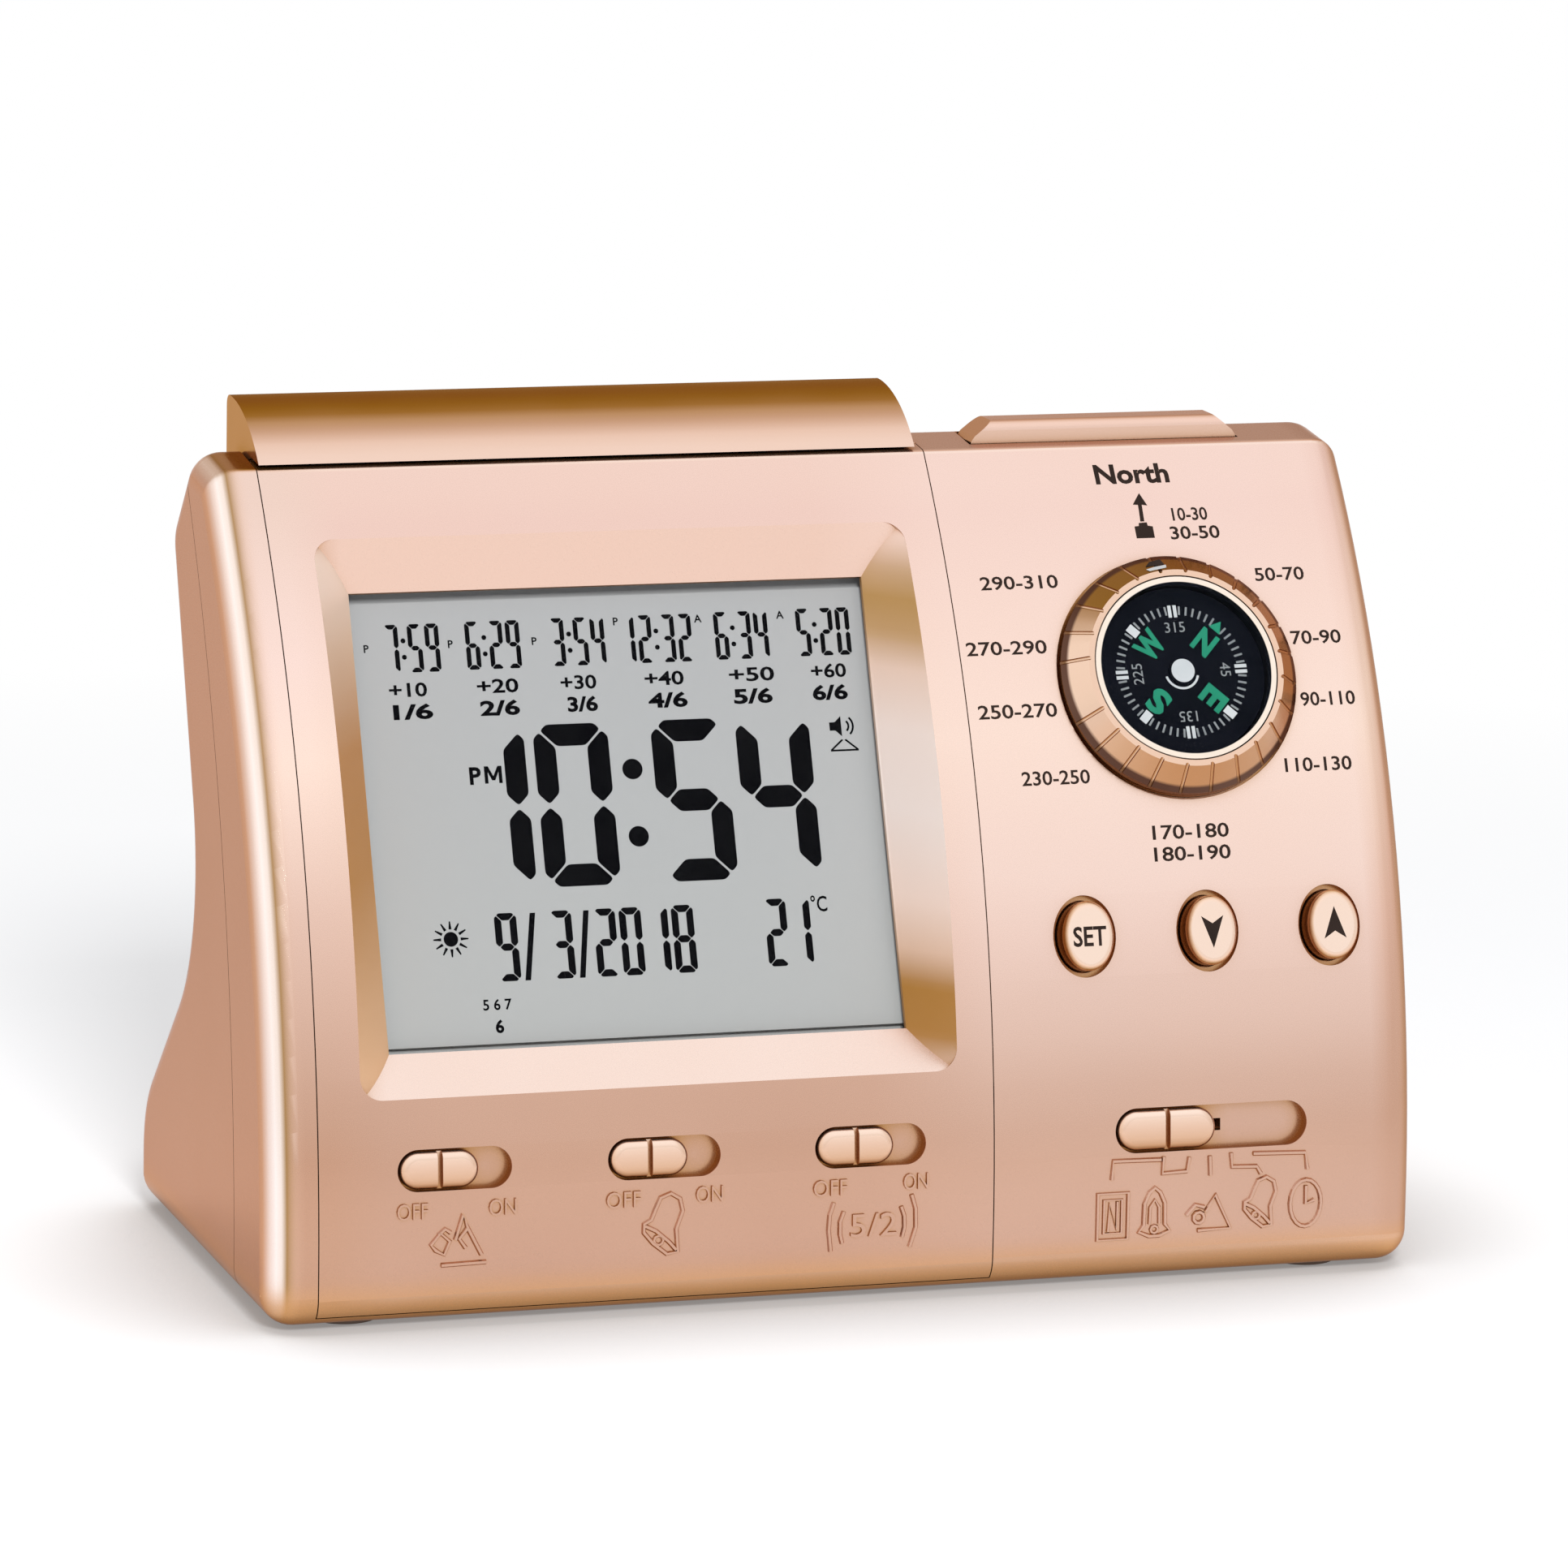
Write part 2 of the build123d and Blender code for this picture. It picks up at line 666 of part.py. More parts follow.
def zebra_strips():
    """Two elastomer strips that join the cell's contact edges to the board."""
    offset_up = lens_height / 2 - 0.5 - 1.2
    strips = []
    for side in (-1, 1):
        plane = bezel_plane(window_x, chord_length / 2 + side * offset_up, 0)
        strips.append(slab(plane, lens_width - 6.0, 2.0, holder_back, glass_front - glass_thickness))
    return strips


def main_board():
    """Circuit board behind the display, with its chip and crystal."""
    width = lens_width + 2 * holder_wall + 2 * board_margin
    height = lens_height + 2 * holder_wall - 2.0
    board = slab(display, width, height, holder_back - board_thickness, holder_back)
    chip = slab(bezel_plane(window_x - 6, chord_length / 2, 0), 14, 10,
                holder_back - board_thickness - 1.6, holder_back - board_thickness)
    crystal = slab(bezel_plane(window_x + 14, chord_length / 2 - 6, 0), 8, 3,
                   holder_back - board_thickness - 2.2, holder_back - board_thickness)
    return board + chip + crystal


# ---- slide switches ------------------------------------------------------------------------------
def knob(x, slot_length, slot_width, length, stem_shift=0.0):
    """Stadium knob at the left end of its slot, with a groove across its middle and a stem."""
    centre = x - slot_length / 2 + knob_gap + length / 2
    plane = face_plane(centre, slot_height)
    width = slot_width - 2 * knob_gap
    cap = pill(plane, length, width, -slot_depth + 0.12, knob_proud)
    top = cap.faces().sort_by_distance(plane.offset(knob_proud).origin)[0]
    cap = fillet(top.edges(), 0.8)
    cap -= slab(plane, 0.55, width + 1.0, knob_proud - 0.75, knob_proud + 1.0)
    stem_plane = face_plane(centre - stem_shift, slot_height)
    stem = slab(stem_plane, stem_length, stem_height, -slot_depth - slot_floor - 1.2, -slot_depth + 0.4)
    return cap + stem


def switch_can(x, length):
    """Metal-canned slide switch with a channel for the knob's stem."""
    plane = face_plane(x, slot_height)
    front = -slot_depth - slot_floor - 0.3
    can = slab(plane, length, 4.2, -slide_board_depth, front)
    return can - slab(plane, length - 1.2, stem_height + 2 * stem_gap, front - 1.4, front + 1.0)


def slide_board():
    """Long narrow board that carries all four slide switches."""
    left = faceplate_left + 4.5
    right = half_width - 9.0
    plane = face_plane((left + right) / 2, slot_height)
    back = -slide_board_depth - board_thickness
    return slab(plane, right - left, slide_board_height, back, -slide_board_depth)


# ---- keys ----------------------------------------------------------------------------------------
key_flange_front = -wall - 0.25
key_stem_end = key_flange_front - key_flange - 1.0
tact_front = key_stem_end - key_travel - 0.15
key_board_depth = -tact_front + tact_height
key_posts = (key_row_x - key_pitch / 2, key_row_x + key_pitch / 2)


def key_cap(x):
    """Oval key with a domed top, a flange behind the panel and a short stem."""
    plane = face_plane(x, key_height)
    cap = oval(plane, 0, key_flange_front - key_flange, key_proud)
    top = cap.faces().sort_by_distance(plane.offset(key_proud).origin)[0]
    cap = fillet(top.edges(), 0.7)
    cap += oval(plane, key_flange_margin, key_flange_front - key_flange, key_flange_front)
    return cap + disc(plane, 1.2, key_stem_end, key_flange_front)


def tact_switch(plane, front):
    """Square push switch with a round plunger."""
    base = slab(plane, tact_size, tact_size, front - tact_height, front - 0.9)
    return base + disc(plane, 1.6, front - 1.0, front)


def key_board():
    """Board behind the three keys."""
    plane = face_plane(key_row_x, key_height)
    length = 2 * (key_pitch + key_board_margin)
    return slab(plane, length, key_board_height, -key_board_depth - board_thickness, -key_board_depth)


# ---- compass and dial ----------------------------------------------------------------------------
capsule_low = bezel_ring_low - 1.6
capsule_floor = 1.0
card_top = 1.5


def revolve_on(plane, *points):
    """Solid of revolution about a plane's normal, from radius and height pairs."""
    profile = make_face(Polyline(*points, close=True))
    return plane.location * revolve(Plane.XZ * profile, Axis.Z)


def dial_ring():
    """Turning ring: conical outside with grip grooves, skirt through the panel and clip lip."""
    low = -dial_seat_depth + dial_gap
    lip = bezel_ring_low
    bore = capsule_radius + dial_gap
    ring = revolve_on(
        dial,
        (bore, dial_proud), (dial_rim_radius, dial_proud), (dial_radius, 0.7), (dial_radius, low),
        (dial_skirt_radius, low), (dial_skirt_radius, lip), (dial_clip_radius, lip),
        (dial_skirt_radius, lip - 1.2), (bore, lip - 1.2),
    )
    run = dial_radius - dial_rim_radius
    rise = dial_proud - 0.7
    slant = degrees(asin(rise / sqrt(run**2 + rise**2)))
    groove = Pos((dial_radius + dial_rim_radius) / 2, 0, (dial_proud + 0.7) / 2) * Rot(0, slant - 90, 0)
    groove *= Cylinder(dial_groove_radius, 6.0)
    for n in range(dial_groove_count):
        ring -= dial.location * Rot(0, 0, (n + 0.5) * 360 / dial_groove_count) * groove
    return ring


def compass_mount():
    """Plate on three posts behind the panel, which carries the compass capsule."""
    plate = disc(dial, mount_radius, capsule_low - 1.4, capsule_low)
    middle = (capsule_low - dial_boss_depth) / 2
    for n in range(3):
        spot = dial.location * Rot(0, 0, 120 * n + 30) * Pos(mount_post_circle, 0, middle)
        plate += spot * Cylinder(mount_post_radius, -dial_boss_depth - capsule_low)
    return plate


def compass_capsule():
    """Round cup of the compass, with its rim level with the dial."""
    cup = disc(dial, capsule_radius, capsule_low, dial_proud)
    return cup - disc(dial, capsule_radius - capsule_wall, capsule_low + capsule_floor, dial_proud + 1.0)


def compass_pivot():
    """Fixed needle point under the card."""
    pin = disc(dial, pivot_radius, capsule_low + capsule_floor, card_top - card_thickness - 0.3)
    return pin + disc(dial, 1.6, capsule_low + capsule_floor, capsule_low + capsule_floor + 1.0)


def compass_card():
    """Round card that turns on its pivot, with a jewelled cap in the middle."""
    card = disc(dial, card_radius, card_top - card_thickness, card_top)
    cap = disc(dial, 1.5, card_top, card_top + 0.45)
    return card + cap


def compass_lens():
    """Clear cover of the compass."""
    low = card_top + 0.75
    lens = disc(dial, capsule_radius - capsule_wall - 0.02, low, dial_proud - 0.1)
    return lens


# ---- bar and pad on the top ----------------------------------------------------------------------
bar_front = top_y + bar_front_run
bar_back = bar_front + bar_depth
bar_low = face_top_height + 0.3 + bar_seam
bar_skirt = well_floor - 0.6


def bar_outline():
    """Side view of the bar: quarter-round front, upright back and a raked lower edge."""
    front = (bar_front, bar_low - bar_lip)
    crown = ThreePointArc(front, (bar_front + 4.6, bar_low + 3.1), (bar_back, bar_top + 0.05))
    rest = Polyline(crown @ 1, (bar_back, bar_skirt), (bar_back - 1.6, bar_skirt + 1.5),
                    (well_front + 0.5, bar_low), front)
    outline = make_face([crown, rest])
    return fillet(outline.vertices().sort_by_distance((bar_back, bar_top))[0], bar_rear_round)


def bar_hollow():
    """Room inside the bar, open below."""
    top = offset(bar_outline(), -bar_wall)
    right = bar_left + bar_length - bar_wall
    room = side_prism(top, bar_left + bar_wall, right)
    below = brick(bar_left + bar_wall, right, well_front + 0.9, bar_back - bar_wall,
                  well_floor - 5.0, bar_low + 1.6)
    return room + below


def snooze_bar():
    """Press bar along the top, on two lugs that turn on the pivot pin."""
    bar = side_prism(bar_outline(), bar_left, bar_left + bar_length) - bar_hollow()
    for x in lug_x:
        lug = brick(x - lug_width / 2, x + lug_width / 2, hinge_y - 1.4, hinge_y + 1.4,
                    hinge_z, bar_low + 1.9)
        lug += Pos(x, hinge_y, hinge_z) * Rot(0, 90, 0) * Cylinder(1.4, lug_width)
        bar += lug & (side_prism(bar_outline(), -far, far) + brick(-far, far, -far, far, 0, bar_low + 1.0))
    bar += brick(snooze_x - 1.2, snooze_x + 1.2, snooze_y - 1.2, snooze_y + 1.2,
                 snooze_switch_top + 0.5, bar_top - 1.6)
    bore = pin_rod(pivot_pin_radius + pivot_gap, bar_left + bar_wall, bar_left + bar_length - bar_wall)
    return bar - bore


snooze_x = bar_left + bar_length / 2 + 6.0
snooze_y = well_front + 5.8
snooze_switch_top = well_floor + 2.6


def pivot_pin():
    """Steel pin through the bearings and the bar's lugs."""
    return pin_rod(pivot_pin_radius - 0.01, pin_left, pin_right)


def snooze_switch():
    """Push switch in the well, under the bar."""
    plane = Plane((snooze_x, snooze_y, snooze_switch_top))
    base = slab(plane, tact_size, 5.0, -2.6, -0.8)
    return base + disc(plane, 1.4, -0.9, 0)


pad_flange_top = face_top_height - 2.8
pad_low = pad_flange_top - 0.8
pad_stem_end = pad_flange_top - 2.6
pad_switch_top = pad_stem_end - pad_travel - 0.15
pad_board_top = pad_switch_top - tact_height
pad_post_run = pad_length / 2 + pad_post_gap
pad_posts = (pad_x - pad_post_run, pad_x + pad_post_run)


def top_pad():
    """Low key with sloping ends on the right of the top."""
    half = pad_length / 2
    low = pad_low
    outline = make_face(Polyline(
        (-half, low), (half, low), (half, pad_top - 2.2), (half - 0.4, pad_top - 1.6),
        (half - pad_end_slope, pad_top), (pad_end_slope - half, pad_top),
        (0.4 - half, pad_top - 1.6), (-half, pad_top - 2.2), close=True))
    pad = extrude(Plane((pad_x, pad_y + pad_depth / 2, 0), x_dir=(1, 0, 0), z_dir=(0, -1, 0)) * outline,
                  amount=pad_depth)
    long_edges = pad.edges().filter_by(Axis.X).group_by(Axis.Z)[-1]
    pad = fillet(long_edges, 1.0)
    pad += brick(pad_x - half - 0.8, pad_x + half + 0.8, pad_y - pad_depth / 2, pad_y + pad_depth / 2,
                 pad_flange_top - 1.0, pad_flange_top)
    return pad + Pos(pad_x, pad_y, (pad_stem_end + pad_low) / 2) * Cylinder(1.5, pad_low - pad_stem_end)


def pad_board():
    """Small board that hangs from two posts under the pad and carries its switch."""
    return brick(pad_posts[0] - 2.0, pad_posts[1] + 2.0, pad_y - 4.0, pad_y + 3.5,
                 pad_board_top - board_thickness, pad_board_top)


# ---- power and sound -----------------------------------------------------------------------------
battery_z = base_height + wall + battery_radius + 0.2


def battery(y, direction):
    """Round cell lying along X, with its button end to one side."""
    along_x = Pos(0, y, battery_z) * Rot(0, 90, 0)
    can = Pos(-direction * 0.5, 0, 0) * along_x * Cylinder(battery_radius, battery_length - 1.0)
    button = Pos(direction * (battery_length / 2 - 0.5), 0, 0) * along_x * Cylinder(1.9, 1.0)
    return can + button


def battery_contacts(rows):
    """Flat plates and coil-shaped cones at the ends of the two cells."""
    pieces = []
    for y, direction in rows:
        reach = bay_half_length - battery_length / 2
        for end in (-1, 1):
            plate_x = end * (bay_half_length - 0.3)
            plate = brick(plate_x - 0.25, plate_x + 0.25, y - contact_half_width, y + contact_half_width,
                          battery_z - contact_half_width, battery_z + contact_half_width)
            if end == -direction:
                spring = Pos(end * (bay_half_length - reach / 2 - 0.3), y, battery_z)
                plate += spring * Rot(0, 90 * end, 0) * Cone(1.8, 3.0, reach - 0.9)
            pieces.append(plate)
    return pieces


def speaker():
    """Loudspeaker frame: rim, open-backed cage and magnet."""
    front = -wall - 0.2
    rim = front - 1.2
    back = rim - 3.8
    return revolve_on(
        speaker_plane(),
        (speaker_radius - 1.6, front), (speaker_radius, front), (speaker_radius, rim), (6.5, back),
        (6.5, back - 2.0), (0, back - 2.0), (0, back), (5.7, back), (speaker_radius - 0.9, rim),
        (speaker_radius - 1.6, rim),
    )


def speaker_cone():
    """Paper cone with a dust cap, held at the frame's rim."""
    rim = -wall - 0.7
    edge = speaker_radius - 1.62
    return revolve_on(
        speaker_plane(),
        (edge, rim), (edge, rim - 0.4), (5.0, rim - 3.4), (0, rim - 3.4), (0, rim - 1.8), (2.4, rim - 2.2),
        (4.6, rim - 3.0), (5.4, rim - 3.0), (edge - 0.6, rim),
    )


def case_screws():
    """Four screws that pull the half shells together."""
    screws = []
    for x, z, y in boss_positions():
        shank = along_y(x, z, screw_radius - 0.02, y - 5.5, y + 4.0)
        screws.append(shank + along_y(x, z, screw_head_radius, y + 4.02, y + 5.6))
    return screws


# ---- all the pieces ------------------------------------------------------------------------------
def all_parts():
    """Node names with their solids."""
    block = shell_block()
    cells = ((battery_row_y - battery_spacing / 2, 1), (battery_row_y + battery_spacing / 2, -1))
    parts = {
        "front_shell": front_shell(block),
        "rear_shell": rear_shell(block),
        "lcd_faceplate": lcd_faceplate(),
        "lcd_lens": lcd_lens(),
        "lcd_glass": lcd_glass(),
        "lcd_holder": lcd_holder(),
        "zebra_strips": zebra_strips(),
        "main_board": main_board(),
        "slide_board": slide_board(),
        "slide_switches": [switch_can(x, small_slot_length - 0.6) for x in small_slot_x],
        "mode_switch": switch_can(mode_slot_x - mode_stem_shift, mode_switch_length),
        "mode_knob": knob(*mode_slot),
        "key_board": key_board(),
        "key_switches": [tact_switch(face_plane(x, key_height), tact_front) for x in key_x],
        "dial_ring": dial_ring(),
        "compass_mount": compass_mount(),
        "compass_capsule": compass_capsule(),
        "compass_pivot": compass_pivot(),
        "compass_card": compass_card(),
        "compass_lens": compass_lens(),
        "snooze_bar": snooze_bar(),
        "snooze_pin": pivot_pin(),
        "snooze_switch": snooze_switch(),
        "top_pad": top_pad(),
        "pad_board": pad_board(),
        "pad_switch": tact_switch(Plane((pad_x, pad_y, 0)), pad_switch_top),
        "battery_door": battery_door(),
        "batteries": [battery(y, direction) for y, direction in cells],
        "battery_contacts": battery_contacts(cells),
        "speaker_frame": speaker(),
        "speaker_cone": speaker_cone(),
        "case_screws": case_screws(),
        "foot_pads": foot_pads(),
    }
    for name, x in zip(("left_knob", "middle_knob", "right_knob"), small_slot_x):
        parts[name] = knob(x, small_slot_length, small_slot_width, small_knob_length)
    for name, x in zip(("set_key", "down_key", "up_key"), key_x):
        parts[name] = key_cap(x)
    return parts


os.makedirs("parts", exist_ok=True)
for name, shape in all_parts().items():
    if isinstance(shape, list):
        shape = Compound(children=shape)
    export_step(shape, f"parts/{name}.step")
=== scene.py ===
"""Visual model of a rose-gold desk clock: finishes, printed marks, display, floor, light and camera.

Metres, +Z up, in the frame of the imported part. Lengths named in the code are millimetres.
"""
import math

import bmesh
import bpy
from mathutils import Matrix, Vector


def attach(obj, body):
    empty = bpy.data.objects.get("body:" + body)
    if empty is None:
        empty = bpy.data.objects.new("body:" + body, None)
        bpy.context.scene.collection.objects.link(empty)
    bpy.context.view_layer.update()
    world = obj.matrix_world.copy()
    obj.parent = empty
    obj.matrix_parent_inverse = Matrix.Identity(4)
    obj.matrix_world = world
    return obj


MM = 0.001
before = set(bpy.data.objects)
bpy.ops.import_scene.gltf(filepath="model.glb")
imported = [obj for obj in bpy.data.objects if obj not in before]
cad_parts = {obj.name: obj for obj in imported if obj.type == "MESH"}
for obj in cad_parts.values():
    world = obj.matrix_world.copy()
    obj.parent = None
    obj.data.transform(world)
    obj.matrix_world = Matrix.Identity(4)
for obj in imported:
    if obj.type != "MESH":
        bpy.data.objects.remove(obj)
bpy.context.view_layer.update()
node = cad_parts


# ---- camera ------------------------------------------------------------------------------------
IMAGE = 1932        # side of the photo in its own pixels
SENSOR = 36         # width of the camera's sensor


def make_camera(azimuth, elevation, roll, focal_px, target, distance):
    """Camera that looks along azimuth and down by elevation at target."""
    a, e, r = (math.radians(v) for v in (azimuth, elevation, roll))
    forward = Vector((math.sin(a) * math.cos(e), math.cos(a) * math.cos(e), -math.sin(e)))
    level = Vector((math.cos(a), -math.sin(a), 0))
    above = level.cross(forward)
    right = math.cos(r) * level + math.sin(r) * above
    up = -math.sin(r) * level + math.cos(r) * above
    data = bpy.data.cameras.new("camera")
    data.sensor_width = SENSOR
    data.lens = SENSOR * focal_px / IMAGE
    data.clip_start = 0.01
    data.clip_end = 50
    cam = bpy.data.objects.new("camera", data)
    cam.matrix_world = Matrix((right, up, -forward)).transposed().to_4x4()
    cam.location = (Vector(target) - distance * forward) * MM
    bpy.context.scene.collection.objects.link(cam)
    bpy.context.scene.camera = cam


make_camera(azimuth=17.73, elevation=11.30, roll=1.2, focal_px=9868, target=(-8.75, -29.5, 55.9),
            distance=826)


# ---- materials ---------------------------------------------------------------------------------
# The face is an arc round a line along X, which lies at FACE_CENTRE_Y and at the height FACE_UPRIGHT.
FACE_RADIUS = 123.0
FACE_CENTRE_Y = 93.5
FACE_UPRIGHT = 5.9
DIAL_X, DIAL_Z = 39.35, 62.9
DIAL_TILT = math.degrees(math.asin((DIAL_Z - FACE_UPRIGHT) / FACE_RADIUS))
DIAL_Y = FACE_CENTRE_Y - FACE_RADIUS * math.cos(math.radians(DIAL_TILT))
DIAL_MIDDLE = (DIAL_X, DIAL_Y, DIAL_Z)
GRAIN = 2500
GRAIN_HEIGHT = 0.01


class Finish:
    """A Principled material with short calls for the nodes that feed it."""

    def __init__(self, name, **sockets):
        self.mat = bpy.data.materials.new(name)
        self.mat.use_nodes = True
        self.nodes = self.mat.node_tree.nodes
        self.links = self.mat.node_tree.links
        self.shader = self.nodes["Principled BSDF"]
        self.out = self.nodes["Material Output"]
        for key, value in sockets.items():
            self.shader.inputs[key.replace("_", " ")].default_value = value

    def add(self, kind, **values):
        """Node of a kind, with its properties and sockets set by name."""
        n = self.nodes.new("ShaderNode" + kind)
        for key, value in values.items():
            if hasattr(n, key):
                setattr(n, key, value)
            else:
                n.inputs[key.replace("_", " ")].default_value = value
        return n

    def link(self, a, b):
        self.links.new(a, b)

    def noise(self, scale, detail=2.0):
        """Noise in the piece's own coordinates, with the scale per metre."""
        coords = self.add("TexCoord")
        n = self.add("TexNoise", Scale=scale, Detail=detail)
        self.link(coords.outputs["Object"], n.inputs["Vector"])
        return n.outputs["Fac"]

    def span(self, value, low, high, from_low=0.3, from_high=0.7):
        """Value carried over from one range, by default that of a noise, to low and high."""
        n = self.add("MapRange")
        ends = (("From Min", from_low), ("From Max", from_high), ("To Min", low), ("To Max", high))
        for key, number in ends:
            n.inputs[key].default_value = number
        self.link(value, n.inputs["Value"])
        return n.outputs["Result"]

    def blend(self, factor, first, second):
        """Colour between first and second, each a colour or a socket."""
        n = self.add("Mix", data_type="RGBA")
        self.link(factor, n.inputs[0])
        for socket, colour in ((n.inputs[6], first), (n.inputs[7], second)):
            if isinstance(colour, tuple):
                socket.default_value = (*colour, 1)
            else:
                self.link(colour, socket)
        return n.outputs[2]

    def ramp(self, value, stops):
        """Colour and strength along value, which runs from -1 to 1."""
        return fill_ramp(self.add("ValToRGB"), self.links, self.span(value, 0, 1, -1, 1),
                         [((at + 1) / 2, *rest) for at, *rest in stops])

    def colour(self, socket):
        self.link(socket, self.shader.inputs["Base Color"])

    def rough(self, socket):
        self.link(socket, self.shader.inputs["Roughness"])

    def bump(self, height, distance_mm):
        n = self.add("Bump", Strength=1.0, Distance=distance_mm * MM)
        self.link(height, n.inputs["Height"])
        self.link(n.outputs["Normal"], self.shader.inputs["Normal"])


def fill_ramp(n, links, value, stops):
    """Sets the stops, each a position, a colour and maybe a strength, and gives both outputs."""
    elements = n.color_ramp.elements
    while len(elements) < len(stops):
        elements.new(0.5)
    for element, (position, colour, *strength) in zip(elements, stops):
        element.position = position
        element.color = (*colour, strength[0] if strength else 1)
    links.new(value, n.inputs["Fac"])
    return n.outputs["Color"], n.outputs["Alpha"]


def plastic(name, first, second, roughness, **sockets):
    """Moulded or painted surface: two close tones, uneven gloss and a fine grain."""
    f = Finish(name, **sockets)
    f.colour(f.blend(f.span(f.noise(180), 0, 1), first, second))
    f.rough(f.span(f.noise(GRAIN / 3), roughness * 0.85, roughness * 1.15))
    f.bump(f.noise(GRAIN, 3), GRAIN_HEIGHT)
    return f.mat


def product(f, *values):
    """Product of several sockets."""
    return chain(f, "MULTIPLY", values)


def chain(f, operation, values):
    """Result of one operation carried on through several sockets."""
    result = values[0]
    for value in values[1:]:
        pair = f.add("Math", operation=operation)
        f.link(result, pair.inputs[0])
        f.link(value, pair.inputs[1])
        result = pair.outputs[0]
    return result


def parts_of(f, vector):
    """The X, Y and Z sockets of a vector."""
    split = f.add("SeparateXYZ")
    f.link(vector, split.inputs[0])
    return split.outputs


def case_tones(f, tone, coords, facing):
    """The case's painted light and shade, place by place: painted reflections on the left strip, painted
    light on the panel, painted reflections on the window slopes, a painted highlight and dark reflection on
    the ridges, a painted reflection along the foot, and painted shade on the slot walls and along the
    window's rim.
    """
    spot = parts_of(f, coords.outputs["Object"])
    x, z = spot["X"], spot["Z"]

    def step(value, low, high):
        return f.span(value, 0, 1, low * MM, high * MM)

    def by_height(stops):
        return f.ramp(f.span(z, 0, 1, 0, 100 * MM), [(at / 100, *rest) for at, *rest in stops])

    ahead = f.span(facing["Y"], 1, 0, 0.0, 0.25)
    # painted reflections on the left strip, by the way it faces
    strip = f.ramp(facing["Z"], STRIP_HEIGHTS)[0]
    tone = f.blend(product(f, ahead, step(x, -50, -56)), tone, strip)
    # painted light: the panel right of the window is made paler, most at mid height
    glow = by_height([(at, PANEL_PAINTED_LIGHT, strength) for at, strength in PANEL_PAINTED_LIGHT_SHARE])[1]
    tone = f.blend(product(f, ahead, glow, step(x, 2, 16), step(x, 60, 58)), tone, PANEL_PAINTED_LIGHT)
    inside = product(f, step(x, -58, -57), step(x, 16, 15))
    calm = []
    # painted reflections: light and dark bands on the window's side slopes, by height
    for low, high, stops in ((0.45, 0.65, LEFT_SLOPE_PAINTED_REFLECTIONS), (-0.45, -0.65, RIGHT_SLOPE_PAINTED_REFLECTIONS)):
        share = product(f, f.span(facing["X"], 0, 1, low, high), inside, step(z, 22, 24))
        tone = f.blend(share, tone, by_height(stops)[0])
        calm.append(share)
    # painted highlight and painted dark reflection: a bright and a dark stripe down the left front edge, and
    # a darker band down the right edge
    ridge, share = f.ramp(f.span(x, -1, 1, -64 * MM, 64 * MM), [(at / 64, *rest) for at, *rest in RIDGE_PAINTED_LIGHT])
    tone = f.blend(product(f, share, f.span(z, 0.35, 1, 1 * MM, 5 * MM)), tone, ridge)
    # painted reflection of the shaded floor: a gold-brown band along the bottom edge
    foot, share = by_height([(at, FOOT_PAINTED_REFLECTION, strength) for at, strength in FOOT_REFLECTION_SHARE])
    tone = f.blend(share, tone, foot)
    along, radius = from_face_centre(f, coords)
    # painted shade: dark slot walls between the face and the slot floors
    wall = product(
        f, f.span(along, 1, 0, 0.25, 0.55), step(radius, FACE_RADIUS - 0.08, FACE_RADIUS - 0.22),
        step(radius, FACE_RADIUS - 1.7, FACE_RADIUS - 1.5), step(x, -59, -58.5), step(x, 59, 58.5),
        step(z, 8, 10), step(z, 28, 24),
    )
    tone = f.blend(wall, tone, SLOT_WALL_PAINTED_SHADE)
    # painted shade: a dark line along the window's outer rim
    rim = f.ramp(along, WINDOW_RIM_SHADE_SHARE)[1]
    rim = product(f, rim, step(x, -54, -53.8), step(x, 13, 12.8), step(z, 22, 23), step(z, 81, 80))
    tone = f.blend(rim, tone, WINDOW_RIM_PAINTED_SHADE)
    slopes = chain(f, "ADD", calm)
    f.link(f.span(slopes, 0.92, 0.2, 0, 1), f.shader.inputs["Metallic"])
    return tone, slopes


def from_face_centre(f, coords):
    """How far the normal points away from the face's centre line, and the distance from that line."""
    outwards = f.add("VectorMath", operation="MULTIPLY_ADD")
    f.link(coords.outputs["Object"], outwards.inputs[0])
    outwards.inputs[1].default_value = (0, 1, 1)
    outwards.inputs[2].default_value = (0, -FACE_CENTRE_Y * MM, -FACE_UPRIGHT * MM)
    length = f.add("VectorMath", operation="LENGTH")
    f.link(outwards.outputs[0], length.inputs[0])
    way = f.add("VectorMath", operation="NORMALIZE")
    f.link(outwards.outputs[0], way.inputs[0])
    along = f.add("VectorMath", operation="DOT_PRODUCT")
    f.link(way.outputs[0], along.inputs[0])
    f.link(coords.outputs["Normal"], along.inputs[1])
    return along.outputs["Value"], length.outputs["Value"]


def knob_tones(f, tone, coords, facing):
    """The small knobs: painted light along the top and painted shade towards the lower edge, standing in for
    a rounded shape.
    """
    z = parts_of(f, coords.outputs["Object"])["Z"]
    rise = f.span(z, -1, 1, (KNOB_MIDDLE - KNOB_HALF) * MM, (KNOB_MIDDLE + KNOB_HALF) * MM)
    height, share = f.ramp(rise, KNOB_PAINTED_LIGHT_AND_SHADE)
    return f.blend(share, tone, height), None


